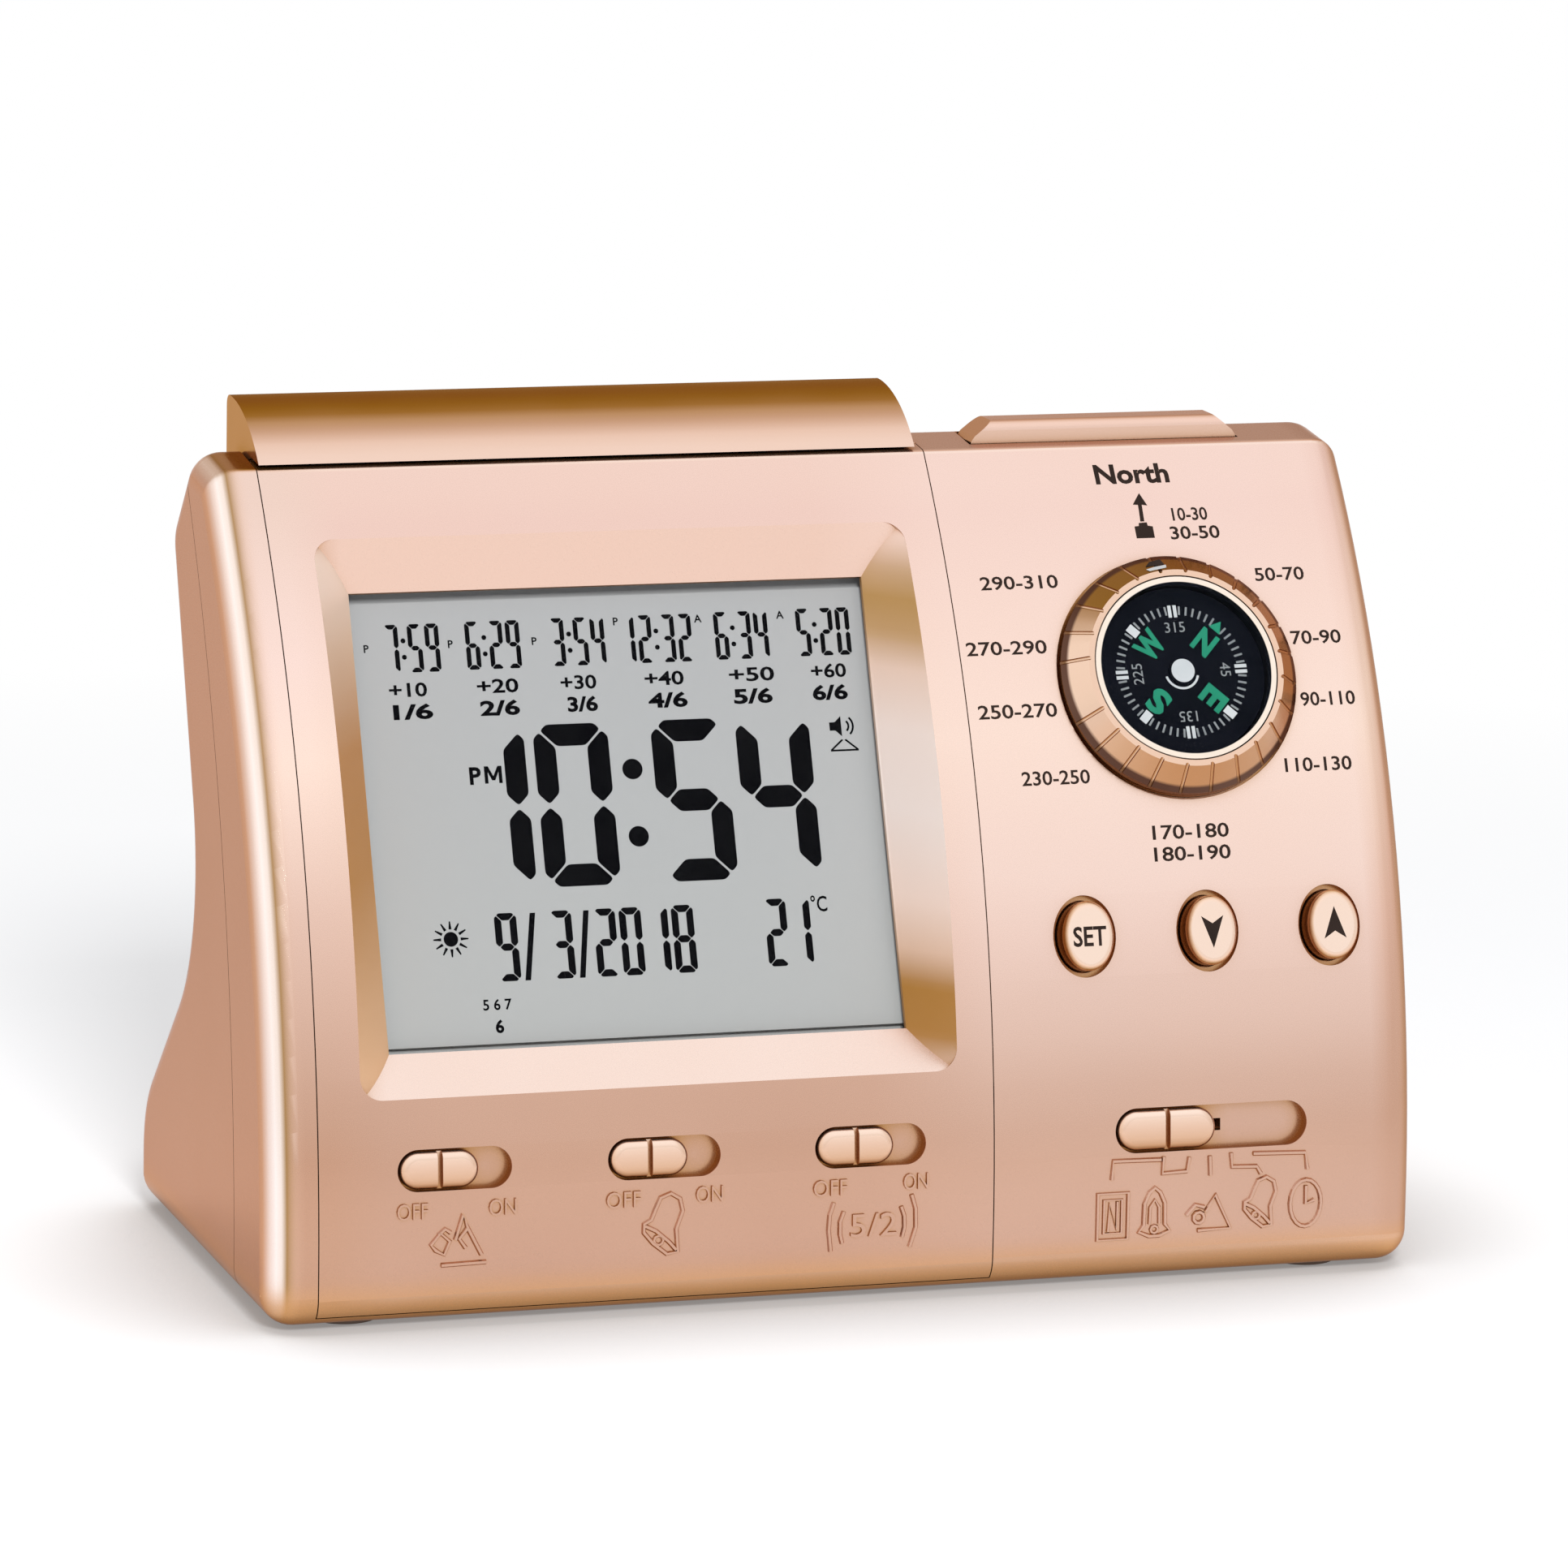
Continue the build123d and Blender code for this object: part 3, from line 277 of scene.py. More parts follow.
def dial_distance(f, coords):
    """Distance from the axis of the dial."""
    flat = f.add("VectorMath", operation="SUBTRACT")
    f.link(coords.outputs["Object"], flat.inputs[0])
    flat.inputs[1].default_value = Vector(DIAL_MIDDLE) * MM
    lean = math.radians(DIAL_TILT)
    out = f.add("VectorMath", operation="PROJECT")
    f.link(flat.outputs[0], out.inputs[0])
    out.inputs[1].default_value = (0, -math.cos(lean), math.sin(lean))
    aside = f.add("VectorMath", operation="SUBTRACT")
    f.link(flat.outputs[0], aside.inputs[0])
    f.link(out.outputs[0], aside.inputs[1])
    length = f.add("VectorMath", operation="LENGTH")
    f.link(aside.outputs[0], length.inputs[0])
    return length.outputs["Value"]


def dial_tones(f, tone, coords, facing):
    """The dial ring: painted shade, a dark outline round its foot where it meets the panel."""
    edge = f.span(dial_distance(f, coords), 0, 1, OUTLINE_INSIDE * MM, OUTLINE_OUTSIDE * MM)
    return f.blend(edge, tone, DIAL_OUTLINE_PAINTED_SHADE), None


def capsule_cream():
    """Cream plastic with a blackened inside."""
    f = Finish("capsule_cream")
    distance = dial_distance(f, f.add("TexCoord"))
    inside = f.span(distance, 1, 0, CAPSULE_INSIDE * MM, (CAPSULE_INSIDE + 0.06) * MM)
    cream = f.blend(f.span(f.noise(180), 0, 1), (0.92, 0.80, 0.68), (0.88, 0.76, 0.64))
    f.colour(f.blend(inside, cream, (0.01, 0.012, 0.016)))
    f.rough(f.span(f.noise(800), 0.30, 0.40))
    f.bump(f.noise(GRAIN, 3), GRAIN_HEIGHT)
    return f.mat


def lacquer(name, heights, sides, roughness=0.21, painted_tones=None, coat=0.12, tight_shade=None, edge=None):
    """Rose-gold metallic lacquer with painted reflections and painted shade: its tone is painted by the way
    the surface faces, and painted shade darkens it in the recesses.
    """
    f = Finish(name, Metallic=0.92, Coat_Weight=coat, Coat_Roughness=0.1)
    f.shader.inputs["Specular Tint"].default_value = (*(edge or ROSE_EDGE), 1)
    coords = f.add("TexCoord")
    facing = parts_of(f, coords.outputs["Normal"])
    # painted reflections: the tone follows the surface's direction, as the studio's reflections would
    tone = f.ramp(facing["Z"], heights)[0]
    if sides:
        sideways, share = f.ramp(facing["X"], sides)
        tone = f.blend(share, tone, sideways)
    calm = None
    if painted_tones:
        tone, calm = painted_tones(f, tone, coords, facing)
    tone = f.blend(f.span(f.noise(38, 3), 0, 0.12), tone, ROSE_WARM)
    # painted shade: ambient occlusion darkens the tone in corners, creases and recesses
    for reach, deep, least, most in ((2.4, PAINTED_SHADE_GOLD, 0.25, 0.85), (1.0, tight_shade or PAINTED_SHADE_RED, 0.15, 0.50)):
        corner = f.add("AmbientOcclusion", samples=6, Distance=reach * MM)
        recess = f.span(corner.outputs["AO"], 1, 0, least, most)
        tone = f.blend(recess, tone, deep)
    f.colour(tone)
    gloss = f.span(f.noise(9000), roughness - 0.03, roughness + 0.04)
    if calm:
        duller = f.add("Math", operation="MULTIPLY_ADD")
        f.link(calm, duller.inputs[0])
        duller.inputs[1].default_value = 0.22
        f.link(gloss, duller.inputs[2])
        gloss = duller.outputs[0]
    f.rough(gloss)
    f.bump(f.noise(14000), 0.0012)
    return f.mat


# Tables of tones: each stop is a place, a colour and maybe a strength. The places are the upward or sideways
# part of the surface's direction, or a height or a distance from the middle in millimetres. The tones picked
# by direction are painted reflections and painted shade: surfaces turned towards bright or dark parts of the
# studio are painted lighter or darker.
ROSE_WARM = (0.84, 0.55, 0.415)
ROSE_EDGE = (0.70, 0.52, 0.44)
# painted shade: the broad darkening of recesses and of surfaces that face down
PAINTED_SHADE_GOLD = (0.50, 0.25, 0.085)
# painted shade on surfaces that face down
DOWNWARD_PAINTED_SHADE = (0.50, 0.26, 0.10)
# painted reflection: the dark gold on surfaces that face up
UPWARD_PAINTED_REFLECTION = (0.31, 0.14, 0.003)
# painted shade: the tight darkening of corners and gaps, and the darkest undersides and sides
PAINTED_SHADE_RED = (0.22, 0.07, 0.025)
# painted shade on the slot walls
SLOT_WALL_PAINTED_SHADE = (0.20, 0.07, 0.02)
# painted shade along the window's rim
WINDOW_RIM_PAINTED_SHADE = (0.30, 0.15, 0.08)
# painted shade: the dark outline where the dial ring meets the panel
DIAL_OUTLINE_PAINTED_SHADE = (0.055, 0.013, 0.004)
# painted reflection: the duller tone of the side walls
SIDE = (0.64, 0.34, 0.20)
# painted light on the panel right of the window
PANEL_PAINTED_LIGHT = (0.96, 0.77, 0.71)
# painted reflection of the shaded floor along the bottom edge
FOOT_PAINTED_REFLECTION = (0.74, 0.39, 0.16)
OUTLINE_INSIDE, OUTLINE_OUTSIDE = 12.5, 12.75
CAPSULE_INSIDE = 9.5
KNOB_MIDDLE, KNOB_HALF = 16.8, 2.4
CASE_HEIGHTS = [
    (-1.0, DOWNWARD_PAINTED_SHADE), (-0.5, (0.55, 0.29, 0.12)), (-0.13, (0.80, 0.56, 0.46)), (0.0, (0.60, 0.355, 0.255)),
    (0.09, (0.565, 0.33, 0.23)), (0.26, (0.76, 0.50, 0.40)), (0.42, (0.90, 0.69, 0.58)),
    (0.60, (0.82, 0.585, 0.52)), (0.73, (0.90, 0.70, 0.60)), (0.793, (0.92, 0.75, 0.68)),
    (0.866, (0.70, 0.40, 0.27)), (0.93, (0.60, 0.38, 0.30)), (1.0, (0.60, 0.43, 0.38)),
]
BAR_PAINTED_REFLECTIONS = [
    (-1.0, DOWNWARD_PAINTED_SHADE), (0.0, (0.62, 0.36, 0.26)), (0.42, (0.72, 0.52, 0.42)), (0.60, (0.72, 0.52, 0.43)),
    (0.73, (0.84, 0.62, 0.52)), (0.80, (0.80, 0.56, 0.45)), (0.866, (0.62, 0.38, 0.25)),
    (0.90, (0.56, 0.33, 0.17)), (0.93, (0.41, 0.20, 0.04)), (1.0, UPWARD_PAINTED_REFLECTION),
]
STRIP_HEIGHTS = [
    (-1.0, DOWNWARD_PAINTED_SHADE), (-0.5, (0.55, 0.29, 0.12)), (0.0, (0.58, 0.33, 0.22)), (0.1, (0.56, 0.315, 0.21)),
    (0.30, (0.79, 0.545, 0.45)), (0.42, (0.97, 0.75, 0.65)), (0.50, (0.93, 0.72, 0.66)),
    (0.62, (0.82, 0.62, 0.54)), (0.73, (0.84, 0.62, 0.52)), (0.80, (0.80, 0.56, 0.45)),
    (0.866, (0.62, 0.36, 0.22)), (0.92, (0.38, 0.18, 0.03)), (1.0, UPWARD_PAINTED_REFLECTION),
]
# strength of the painted shade along the rim, by the normal's turn from the face
WINDOW_RIM_SHADE_SHARE = [
    (0.0, PAINTED_SHADE_RED, 0), (0.84, PAINTED_SHADE_RED, 0), (0.90, PAINTED_SHADE_RED, 0.75), (0.955, PAINTED_SHADE_RED, 0.75),
    (0.985, PAINTED_SHADE_RED, 0),
]
# strength of the panel's painted light by height
PANEL_PAINTED_LIGHT_SHARE = [
    (0, 0.1), (14, 0.06), (22, 0.18), (27, 0.32), (34, 0.42), (44, 0.58), (56, 0.42), (68, 0.36), (82, 0.3),
    (100, 0),
]
# strength of the bottom edge's painted reflection by height
FOOT_REFLECTION_SHARE = [(0, 0.9), (3, 0.75), (5.5, 0.1), (6.5, 0)]
# painted reflections on the window's left slope, by height
LEFT_SLOPE_PAINTED_REFLECTIONS = [
    (24, (0.86, 0.56, 0.34)), (34, (0.80, 0.47, 0.24)), (46, (0.62, 0.28, 0.06)), (58, (0.62, 0.27, 0.06)),
    (68, (0.86, 0.60, 0.42)), (74, (0.98, 0.80, 0.68)), (80, (0.98, 0.80, 0.68)),
]
# painted reflections on the window's right slope, by height
RIGHT_SLOPE_PAINTED_REFLECTIONS = [
    (24.5, (0.62, 0.42, 0.30)), (27.5, (0.38, 0.17, 0.02)), (32.5, (0.40, 0.18, 0.02)),
    (36, (0.78, 0.54, 0.40)), (41, (0.96, 0.76, 0.66)), (50, (1.0, 0.88, 0.82)), (58, (1.0, 0.86, 0.79)),
    (64, (0.90, 0.68, 0.56)), (67.5, (0.56, 0.34, 0.15)), (71, (0.46, 0.26, 0.07)),
    (74, (0.56, 0.36, 0.20)), (77, (0.86, 0.64, 0.54)),
]
# painted highlight, dark stripe and side tone across the left edge; a darker band on the right edge
RIDGE_PAINTED_LIGHT = [
    (-64, SIDE, 1), (-62.95, SIDE, 1), (-62.62, (0.84, 0.64, 0.56), 1), (-62.1, (1.0, 0.90, 0.86), 1),
    (-61.55, (1.0, 0.88, 0.82), 1), (-61.22, (0.34, 0.19, 0.04), 1), (-60.85, (0.40, 0.22, 0.07), 0.85),
    (-60.2, (0.66, 0.42, 0.28), 0.35), (-59.3, ROSE_WARM, 0), (61.3, SIDE, 0),
    (62.3, (0.46, 0.25, 0.12), 0.9), (64, (0.46, 0.25, 0.12), 0.9),
]
# painted light and painted shade up the knobs, from the lower edge to the top
KNOB_PAINTED_LIGHT_AND_SHADE = [
    (-1.0, (0.28, 0.10, 0.03), 0.9), (-0.72, (0.45, 0.20, 0.06), 0.85), (-0.35, (0.70, 0.42, 0.26), 0.75),
    (0.1, (0.80, 0.54, 0.40), 0.7), (0.5, (0.90, 0.68, 0.55), 0.75), (0.8, (1.0, 0.82, 0.72), 0.8),
    (0.95, (0.70, 0.42, 0.26), 0.8),
]
KNOB_HEIGHTS = [
    (-1.0, (0.35, 0.13, 0.04)), (-0.75, (0.45, 0.20, 0.06)), (-0.4, (0.74, 0.46, 0.30)),
    (0.0, (0.76, 0.50, 0.36)), (0.3, (0.88, 0.64, 0.50)), (0.7, (0.92, 0.70, 0.56)), (1.0, (0.7, 0.45, 0.3)),
]
PAD_HEIGHTS = [
    (-1.0, PAINTED_SHADE_GOLD), (-0.4, PAINTED_SHADE_GOLD), (0.1, (0.85, 0.60, 0.50)), (0.6, (0.85, 0.60, 0.50)),
    (0.9, (0.74, 0.47, 0.35)), (1.0, (0.72, 0.45, 0.33)),
]
PAD_SIDES = [
    (-1.0, (0.62, 0.34, 0.14), 0.8), (-0.6, (0.62, 0.34, 0.14), 0.5), (-0.3, ROSE_WARM, 0),
    (1.0, ROSE_WARM, 0),
]
KEY_HEIGHTS = [
    (-1.0, PAINTED_SHADE_GOLD), (-0.55, (0.45, 0.22, 0.06)), (-0.2, (0.80, 0.52, 0.36)), (0.25, (0.94, 0.74, 0.62)),
    (0.6, (0.90, 0.66, 0.52)), (1.0, (0.62, 0.36, 0.14)),
]
KEY_SIDES = [
    (-1.0, (0.25, 0.08, 0.01), 1), (-0.75, (0.25, 0.08, 0.01), 1), (-0.45, (0.55, 0.28, 0.10), 0.5),
    (-0.2, ROSE_WARM, 0), (0.5, ROSE_WARM, 0), (0.9, (0.50, 0.28, 0.10), 0.8), (1.0, (0.50, 0.28, 0.10), 0.8),
]
DIAL_HEIGHTS = [
    (-1.0, PAINTED_SHADE_RED), (-0.85, PAINTED_SHADE_RED), (-0.5, (0.48, 0.21, 0.08)), (-0.34, (0.50, 0.23, 0.09)),
    (-0.1, (0.64, 0.38, 0.23)), (0.3, (0.78, 0.52, 0.38)), (0.42, (0.82, 0.57, 0.43)),
    (0.50, (0.82, 0.57, 0.43)), (0.58, (0.34, 0.165, 0.025)), (0.75, (0.27, 0.125, 0.01)),
    (1.0, (0.27, 0.125, 0.01)),
]
DIAL_SIDES = [
    (-1.0, PAINTED_SHADE_RED, 1), (-0.88, PAINTED_SHADE_RED, 1), (-0.80, (0.86, 0.64, 0.50), 0.7),
    (-0.70, (0.86, 0.64, 0.50), 0.7), (-0.56, ROSE_WARM, 0), (0.5, ROSE_WARM, 0),
    (0.72, (0.44, 0.21, 0.06), 0.9), (0.85, (0.30, 0.11, 0.03), 1), (1.0, (0.30, 0.11, 0.03), 1),
]
BAR_SIDES = [
    (-1.0, (0.68, 0.41, 0.26), 1), (-0.97, (0.68, 0.41, 0.26), 1), (-0.88, (0.32, 0.15, 0.03), 1),
    (-0.6, (0.32, 0.15, 0.03), 0.8), (-0.4, ROSE_WARM, 0), (0.6, ROSE_WARM, 0), (1.0, SIDE, 1),
]

# Each lacquer's tables paint reflections and shade into its colour by the way its surfaces face.
LACQUER = lacquer("rose_gold_lacquer_painted_shading", CASE_HEIGHTS, None, 0.24, case_tones, tight_shade=(0.34, 0.15, 0.035))
LACQUER_BAR = lacquer("rose_gold_lacquer_bar", BAR_PAINTED_REFLECTIONS, BAR_SIDES, coat=0.03, edge=(0.6, 0.4, 0.2))
LACQUER_DIAL = lacquer("rose_gold_lacquer_dial", DIAL_HEIGHTS, DIAL_SIDES, painted_tones=dial_tones)
LACQUER_PAD = lacquer("rose_gold_lacquer_pad", PAD_HEIGHTS, PAD_SIDES)
LACQUER_KEY = lacquer("rose_gold_lacquer_key", KEY_HEIGHTS, KEY_SIDES)
LACQUER_KNOB = lacquer("rose_gold_lacquer_knob", KNOB_HEIGHTS, PAD_SIDES, painted_tones=knob_tones)
INK = plastic("dark_ink", (0.022, 0.014, 0.011), (0.035, 0.022, 0.018), 0.5, Specular_IOR_Level=0.1)
SEGMENT = plastic(
    "display_segment", (0.002, 0.002, 0.003), (0.005, 0.005, 0.006), 0.5, Specular_IOR_Level=0.02
)
BLACK = plastic("black_plastic", (0.018, 0.018, 0.019), (0.028, 0.028, 0.03), 0.42)
SWITCH = plastic("brown_plastic", (0.45, 0.24, 0.15), (0.40, 0.20, 0.12), 0.45)
RUBBER = plastic("silicone_rubber", (0.035, 0.035, 0.036), (0.055, 0.055, 0.056), 0.75)
PALE_RUBBER = plastic("pale_rubber", (0.44, 0.37, 0.33), (0.38, 0.31, 0.27), 0.7)
BOARD = plastic("green_board", (0.02, 0.12, 0.05), (0.03, 0.16, 0.07), 0.4)
TIN = plastic("tinned_steel", (0.62, 0.62, 0.6), (0.5, 0.5, 0.49), 0.3, Metallic=1.0)
BRASS = plastic("spring_brass", (0.75, 0.55, 0.24), (0.66, 0.46, 0.2), 0.3, Metallic=1.0)
JACKET = plastic("battery_jacket", (0.03, 0.12, 0.3), (0.04, 0.15, 0.36), 0.3)
PAPER = plastic("cone_paper", (0.035, 0.032, 0.03), (0.055, 0.05, 0.046), 0.8)
CARD_BLACK = plastic("card_black", (0.003, 0.004, 0.007), (0.006, 0.007, 0.012), 0.5, Specular_IOR_Level=0.03)
CARD_WHITE = plastic("card_white", (0.75, 0.77, 0.78), (0.62, 0.65, 0.67), 0.5)
CARD_GREY = plastic("card_grey", (0.33, 0.35, 0.36), (0.24, 0.26, 0.27), 0.5)
CARD_GREEN = plastic("card_green", (0.006, 0.25, 0.14), (0.01, 0.30, 0.17), 0.45)
CAPSULE = capsule_cream()
MAGNET = plastic("magnet", (0.3, 0.3, 0.31), (0.36, 0.36, 0.37), 0.35, Metallic=1.0)


def display_grey():
    """Reflective cell: even grey with painted shade that makes it slightly darker towards the top, and a fine
    grain.
    """
    f = Finish("display_grey", Specular_IOR_Level=0.3)
    z = parts_of(f, f.add("TexCoord").outputs["Object"])["Z"]
    # painted shade: the grey darkens slightly towards the top of the cell
    fall = f.span(z, 0, 1, 25 * MM, 75 * MM)
    base = f.blend(fall, (0.485, 0.492, 0.485), (0.46, 0.462, 0.468))
    f.colour(f.blend(f.span(f.noise(1500), 0, 0.06), base, (0.6, 0.6, 0.58)))
    f.rough(f.span(f.noise(3000), 0.36, 0.44))
    return f.mat


def clear(name, tint, roughness):
    """Clear plastic that lets the lamps through to what is behind it."""
    f = Finish(name, Transmission_Weight=1.0, IOR=1.07)
    f.shader.inputs["Base Color"].default_value = (*tint, 1)
    f.rough(f.span(f.noise(400), roughness, roughness + 0.02))
    path = f.add("LightPath")
    through = f.add("BsdfTransparent")
    through.inputs["Color"].default_value = (*tint, 1)
    either = chain(f, "MAXIMUM", [path.outputs["Is Shadow Ray"], path.outputs["Is Diffuse Ray"]])
    mix = f.add("MixShader")
    f.link(either, mix.inputs[0])
    f.link(f.shader.outputs[0], mix.inputs[1])
    f.link(through.outputs[0], mix.inputs[2])
    f.link(mix.outputs[0], f.out.inputs["Surface"])
    return f.mat


DISPLAY = display_grey()
LENS = clear("clear_acrylic", (0.98, 0.985, 0.985), 0.015)

FINISHES = {
    LACQUER: "front_shell rear_shell lcd_faceplate battery_door",
    LACQUER_KNOB: "left_knob middle_knob right_knob mode_knob",
    LACQUER_BAR: "snooze_bar",
    LACQUER_DIAL: "dial_ring",
    LACQUER_PAD: "top_pad",
    LACQUER_KEY: "set_key down_key up_key",
    LENS: "lcd_lens compass_lens",
    DISPLAY: "lcd_glass",
    SWITCH: "slide_switches mode_switch",
    BLACK: "lcd_holder key_switches pad_switch snooze_switch compass_mount",
    RUBBER: "zebra_strips",
    PALE_RUBBER: "foot_pads",
    BOARD: "main_board slide_board key_board pad_board",
    TIN: "case_screws snooze_pin compass_pivot",
    BRASS: "battery_contacts",
    JACKET: "batteries",
    PAPER: "speaker_cone",
    CARD_BLACK: "compass_card",
    CAPSULE: "compass_capsule",
    MAGNET: "speaker_frame",
}
for mat, names in FINISHES.items():
    for name in names.split():
        piece = node[name]
        if not piece.material_slots:
            piece.data.materials.append(mat)
        for material_slot in piece.material_slots:
            material_slot.material = mat


# ---- shapes of the part that the marks lie on -----------------------------------------------------
def on_face(x, z, lift=0.0):
    """Mapping from flat (right, up, out) to the curved face round x and height z."""
    start = math.asin((z - FACE_UPRIGHT) / FACE_RADIUS)

    def place(a, b, h):
        turn = start + b / FACE_RADIUS
        radius = FACE_RADIUS + lift + h
        y, height = FACE_CENTRE_Y - radius * math.cos(turn), FACE_UPRIGHT + radius * math.sin(turn)
        return Vector((x + a, y, height))

    return place


def on_plane(origin, tilt, lift=0.0):
    """Mapping onto a plane through origin that leans back by tilt degrees."""
    t = math.radians(tilt)
    up = Vector((0, math.sin(t), math.cos(t)))
    out = Vector((0, -math.cos(t), math.sin(t)))

    def place(a, b, h):
        return Vector(origin) + Vector((a, 0, 0)) + up * b + out * (h + lift)

    return place


# ---- flat shapes as thin solids -------------------------------------------------------------------
CAPITAL = 0.729     # height of a capital letter in the font at size 1


class Sheet:
    """Collects thin solids and makes one mesh object of them."""

    def __init__(self, name, mat):
        self.name, self.mat = name, mat
        self.points, self.faces = [], []

    def prism(self, outline, place, thickness, low=0.0):
        """Flat outline, given round its edge, as a thin solid."""
        first, n = len(self.points), len(outline)
        self.points += [place(a, b, low) for a, b in outline]
        self.points += [place(a, b, low + thickness) for a, b in outline]
        self.faces.append([first + i for i in range(n)][::-1])
        self.faces.append([first + n + i for i in range(n)])
        for i in range(n):
            j = (i + 1) % n
            self.faces.append([first + i, first + j, first + n + j, first + n + i])

    def word(self, text, place, height, thickness, bold=0.0, width=None, low=0.0):
        """Text centred on the mapping's origin, with capitals of the given height, drawn to a width."""
        curve = bpy.data.curves.new("word", "FONT")
        curve.body = text
        curve.size = 1.0
        curve.align_x = "CENTER"
        curve.offset = bold
        curve.extrude = 0.5
        curve.resolution_u = 3
        holder = bpy.data.objects.new("word", curve)
        bpy.context.scene.collection.objects.link(holder)
        bpy.context.view_layer.update()
        mesh = bpy.data.meshes.new_from_object(holder.evaluated_get(bpy.context.evaluated_depsgraph_get()))
        scale = height / CAPITAL
        across = [v.co.x for v in mesh.vertices]
        middle, extent = (max(across) + min(across)) / 2, max(across) - min(across)
        stretch = width / extent if width else scale
        first = len(self.points)
        for v in mesh.vertices:
            a = (v.co.x - middle) * stretch
            b = (v.co.y - CAPITAL / 2) * scale
            self.points.append(place(a, b, low + (v.co.z + 0.5) * thickness))
        self.faces += [[first + i for i in p.vertices] for p in mesh.polygons]
        bpy.data.objects.remove(holder)
        bpy.data.curves.remove(curve)
        bpy.data.meshes.remove(mesh)

    def stroke(self, path, place, radius, closed=False):
        """Half-sunk round ridge along a path of (right, up) points."""
        sides = 6
        n = len(path)
        first = len(self.points)
        for i, (a, b) in enumerate(path):
            before = path[i - 1] if closed or i else path[i]
            after = path[(i + 1) % n] if closed or i < n - 1 else path[i]
            da, db = after[0] - before[0], after[1] - before[1]
            size = math.hypot(da, db) or 1.0
            side = (-db / size, da / size)
            for k in range(sides):
                turn = 2 * math.pi * k / sides
                w, h = radius * math.cos(turn), radius * math.sin(turn)
                self.points.append(place(a + side[0] * w, b + side[1] * w, h))
        for i in range(n if closed else n - 1):
            j = (i + 1) % n
            for k in range(sides):
                m = (k + 1) % sides
                here, there = first + i * sides, first + j * sides
                self.faces.append([here + k, there + k, there + m, here + m])
        if not closed:
            self.faces.append([first + k for k in range(sides)])
            self.faces.append([first + (n - 1) * sides + k for k in range(sides)][::-1])

    def finish(self, body, material_slot):
        """One mesh object that rides on a body."""
        mesh = bpy.data.meshes.new(self.name)
        mesh.from_pydata([p * MM for p in self.points], [], self.faces)
        mesh.materials.append(self.mat)
        mesh.validate()
        obj = bpy.data.objects.new(self.name, mesh)
        bpy.context.scene.collection.objects.link(obj)
        tidy_normals(obj)
        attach(obj, body)
        return obj


def tidy_normals(obj):
    """Faces point outwards."""
    bm = bmesh.new()
    bm.from_mesh(obj.data)
    bmesh.ops.remove_doubles(bm, verts=bm.verts, dist=1e-7)
    bmesh.ops.recalc_face_normals(bm, faces=bm.faces)
    bm.to_mesh(obj.data)
    bm.free()


def ring(radius, count, x=0.0, y=0.0, start=0.0, sweep=360.0, ratio=1.0):
    """Points round a circle or an arc."""
    steps = count if sweep == 360.0 else count - 1
    turns = [math.radians(start + sweep * i / steps) for i in range(count)]
    return [(x + radius * math.cos(t), y + ratio * radius * math.sin(t)) for t in turns]


# ---- the display ----------------------------------------------------------------------------------
# The cell is parallel to the bezel's chord, which starts at CHORD_LOW. Its front lies GLASS_OUT from the
# chord, negative behind it. The window starts at WINDOW_LEFT and, up the chord, at WINDOW_FOOT.
CHORD_LOW = (0, -28.13, 24.20)
CHORD_TILT = 22.45
GLASS_OUT = -4.62
WINDOW_LEFT = -48.3
WINDOW_FOOT = 5.2
FILM = 0.009
FILM_LIFT = 0.001


def on_display(u, v):
    """Mapping onto the display, u from the window's left side and v from its lower side."""
    chord = on_plane(CHORD_LOW, CHORD_TILT, GLASS_OUT + FILM_LIFT)
    return lambda a, b, h: chord(WINDOW_LEFT + u + a, WINDOW_FOOT + v + b, h)


LIT = {
    "0": "abcdef", "1": "bc", "2": "abged", "3": "abgcd", "4": "fgbc",
    "5": "afgcd", "6": "afgedc", "7": "abc", "8": "abcdefg", "9": "abcdfg",
}


def digit(sheet, character, u, v, width, height, bar, gap):
    """Seven-segment figure with its lower left corner at u, v."""
    w, h, m = width, height, height / 2
    g = gap / 2
    c = bar * 0.28
    half = bar / 2
    shapes = {
        "a": [(c + g, h - c), (2 * c + g, h), (w - 2 * c - g, h), (w - c - g, h - c),
              (w - bar - g, h - bar), (bar + g, h - bar)],
        "g": [(half + g, m), (bar + g, m + half), (w - bar - g, m + half), (w - half - g, m),
              (w - bar - g, m - half), (bar + g, m - half)],
        "f": [(c, h - c - g), (bar, h - bar - g), (bar, m + half + g), (half, m + g),
              (0, m + half + g), (0, h - 2 * c - g)],
    }
    shapes["d"] = [(a, h - b) for a, b in shapes["a"]]
    shapes["e"] = [(a, h - b) for a, b in shapes["f"]]
    shapes["b"] = [(w - a, b) for a, b in shapes["f"]]
    shapes["c"] = [(w - a, b) for a, b in shapes["e"]]
    place = on_display(u, v)
    for part in LIT[character]:
        sheet.prism(soften(shapes[part], bar * 0.3), place, FILM)


def soften(outline, reach):
    """Cuts each sharp corner of an outline with two short edges."""
    result = []
    n = len(outline)
    for i, point in enumerate(outline):
        before, after = outline[i - 1], outline[(i + 1) % n]
        ends = []
        for other in (before, after):
            da, db = other[0] - point[0], other[1] - point[1]
            size = math.hypot(da, db)
            step = min(reach * 0.5, size * 0.3)
            ends.append((point[0] + da / size * step, point[1] + db / size * step))
        middle = tuple((ends[0][k] + ends[1][k]) / 4 + point[k] / 2 for k in (0, 1))
        result += [ends[0], middle, ends[1]]
    return result


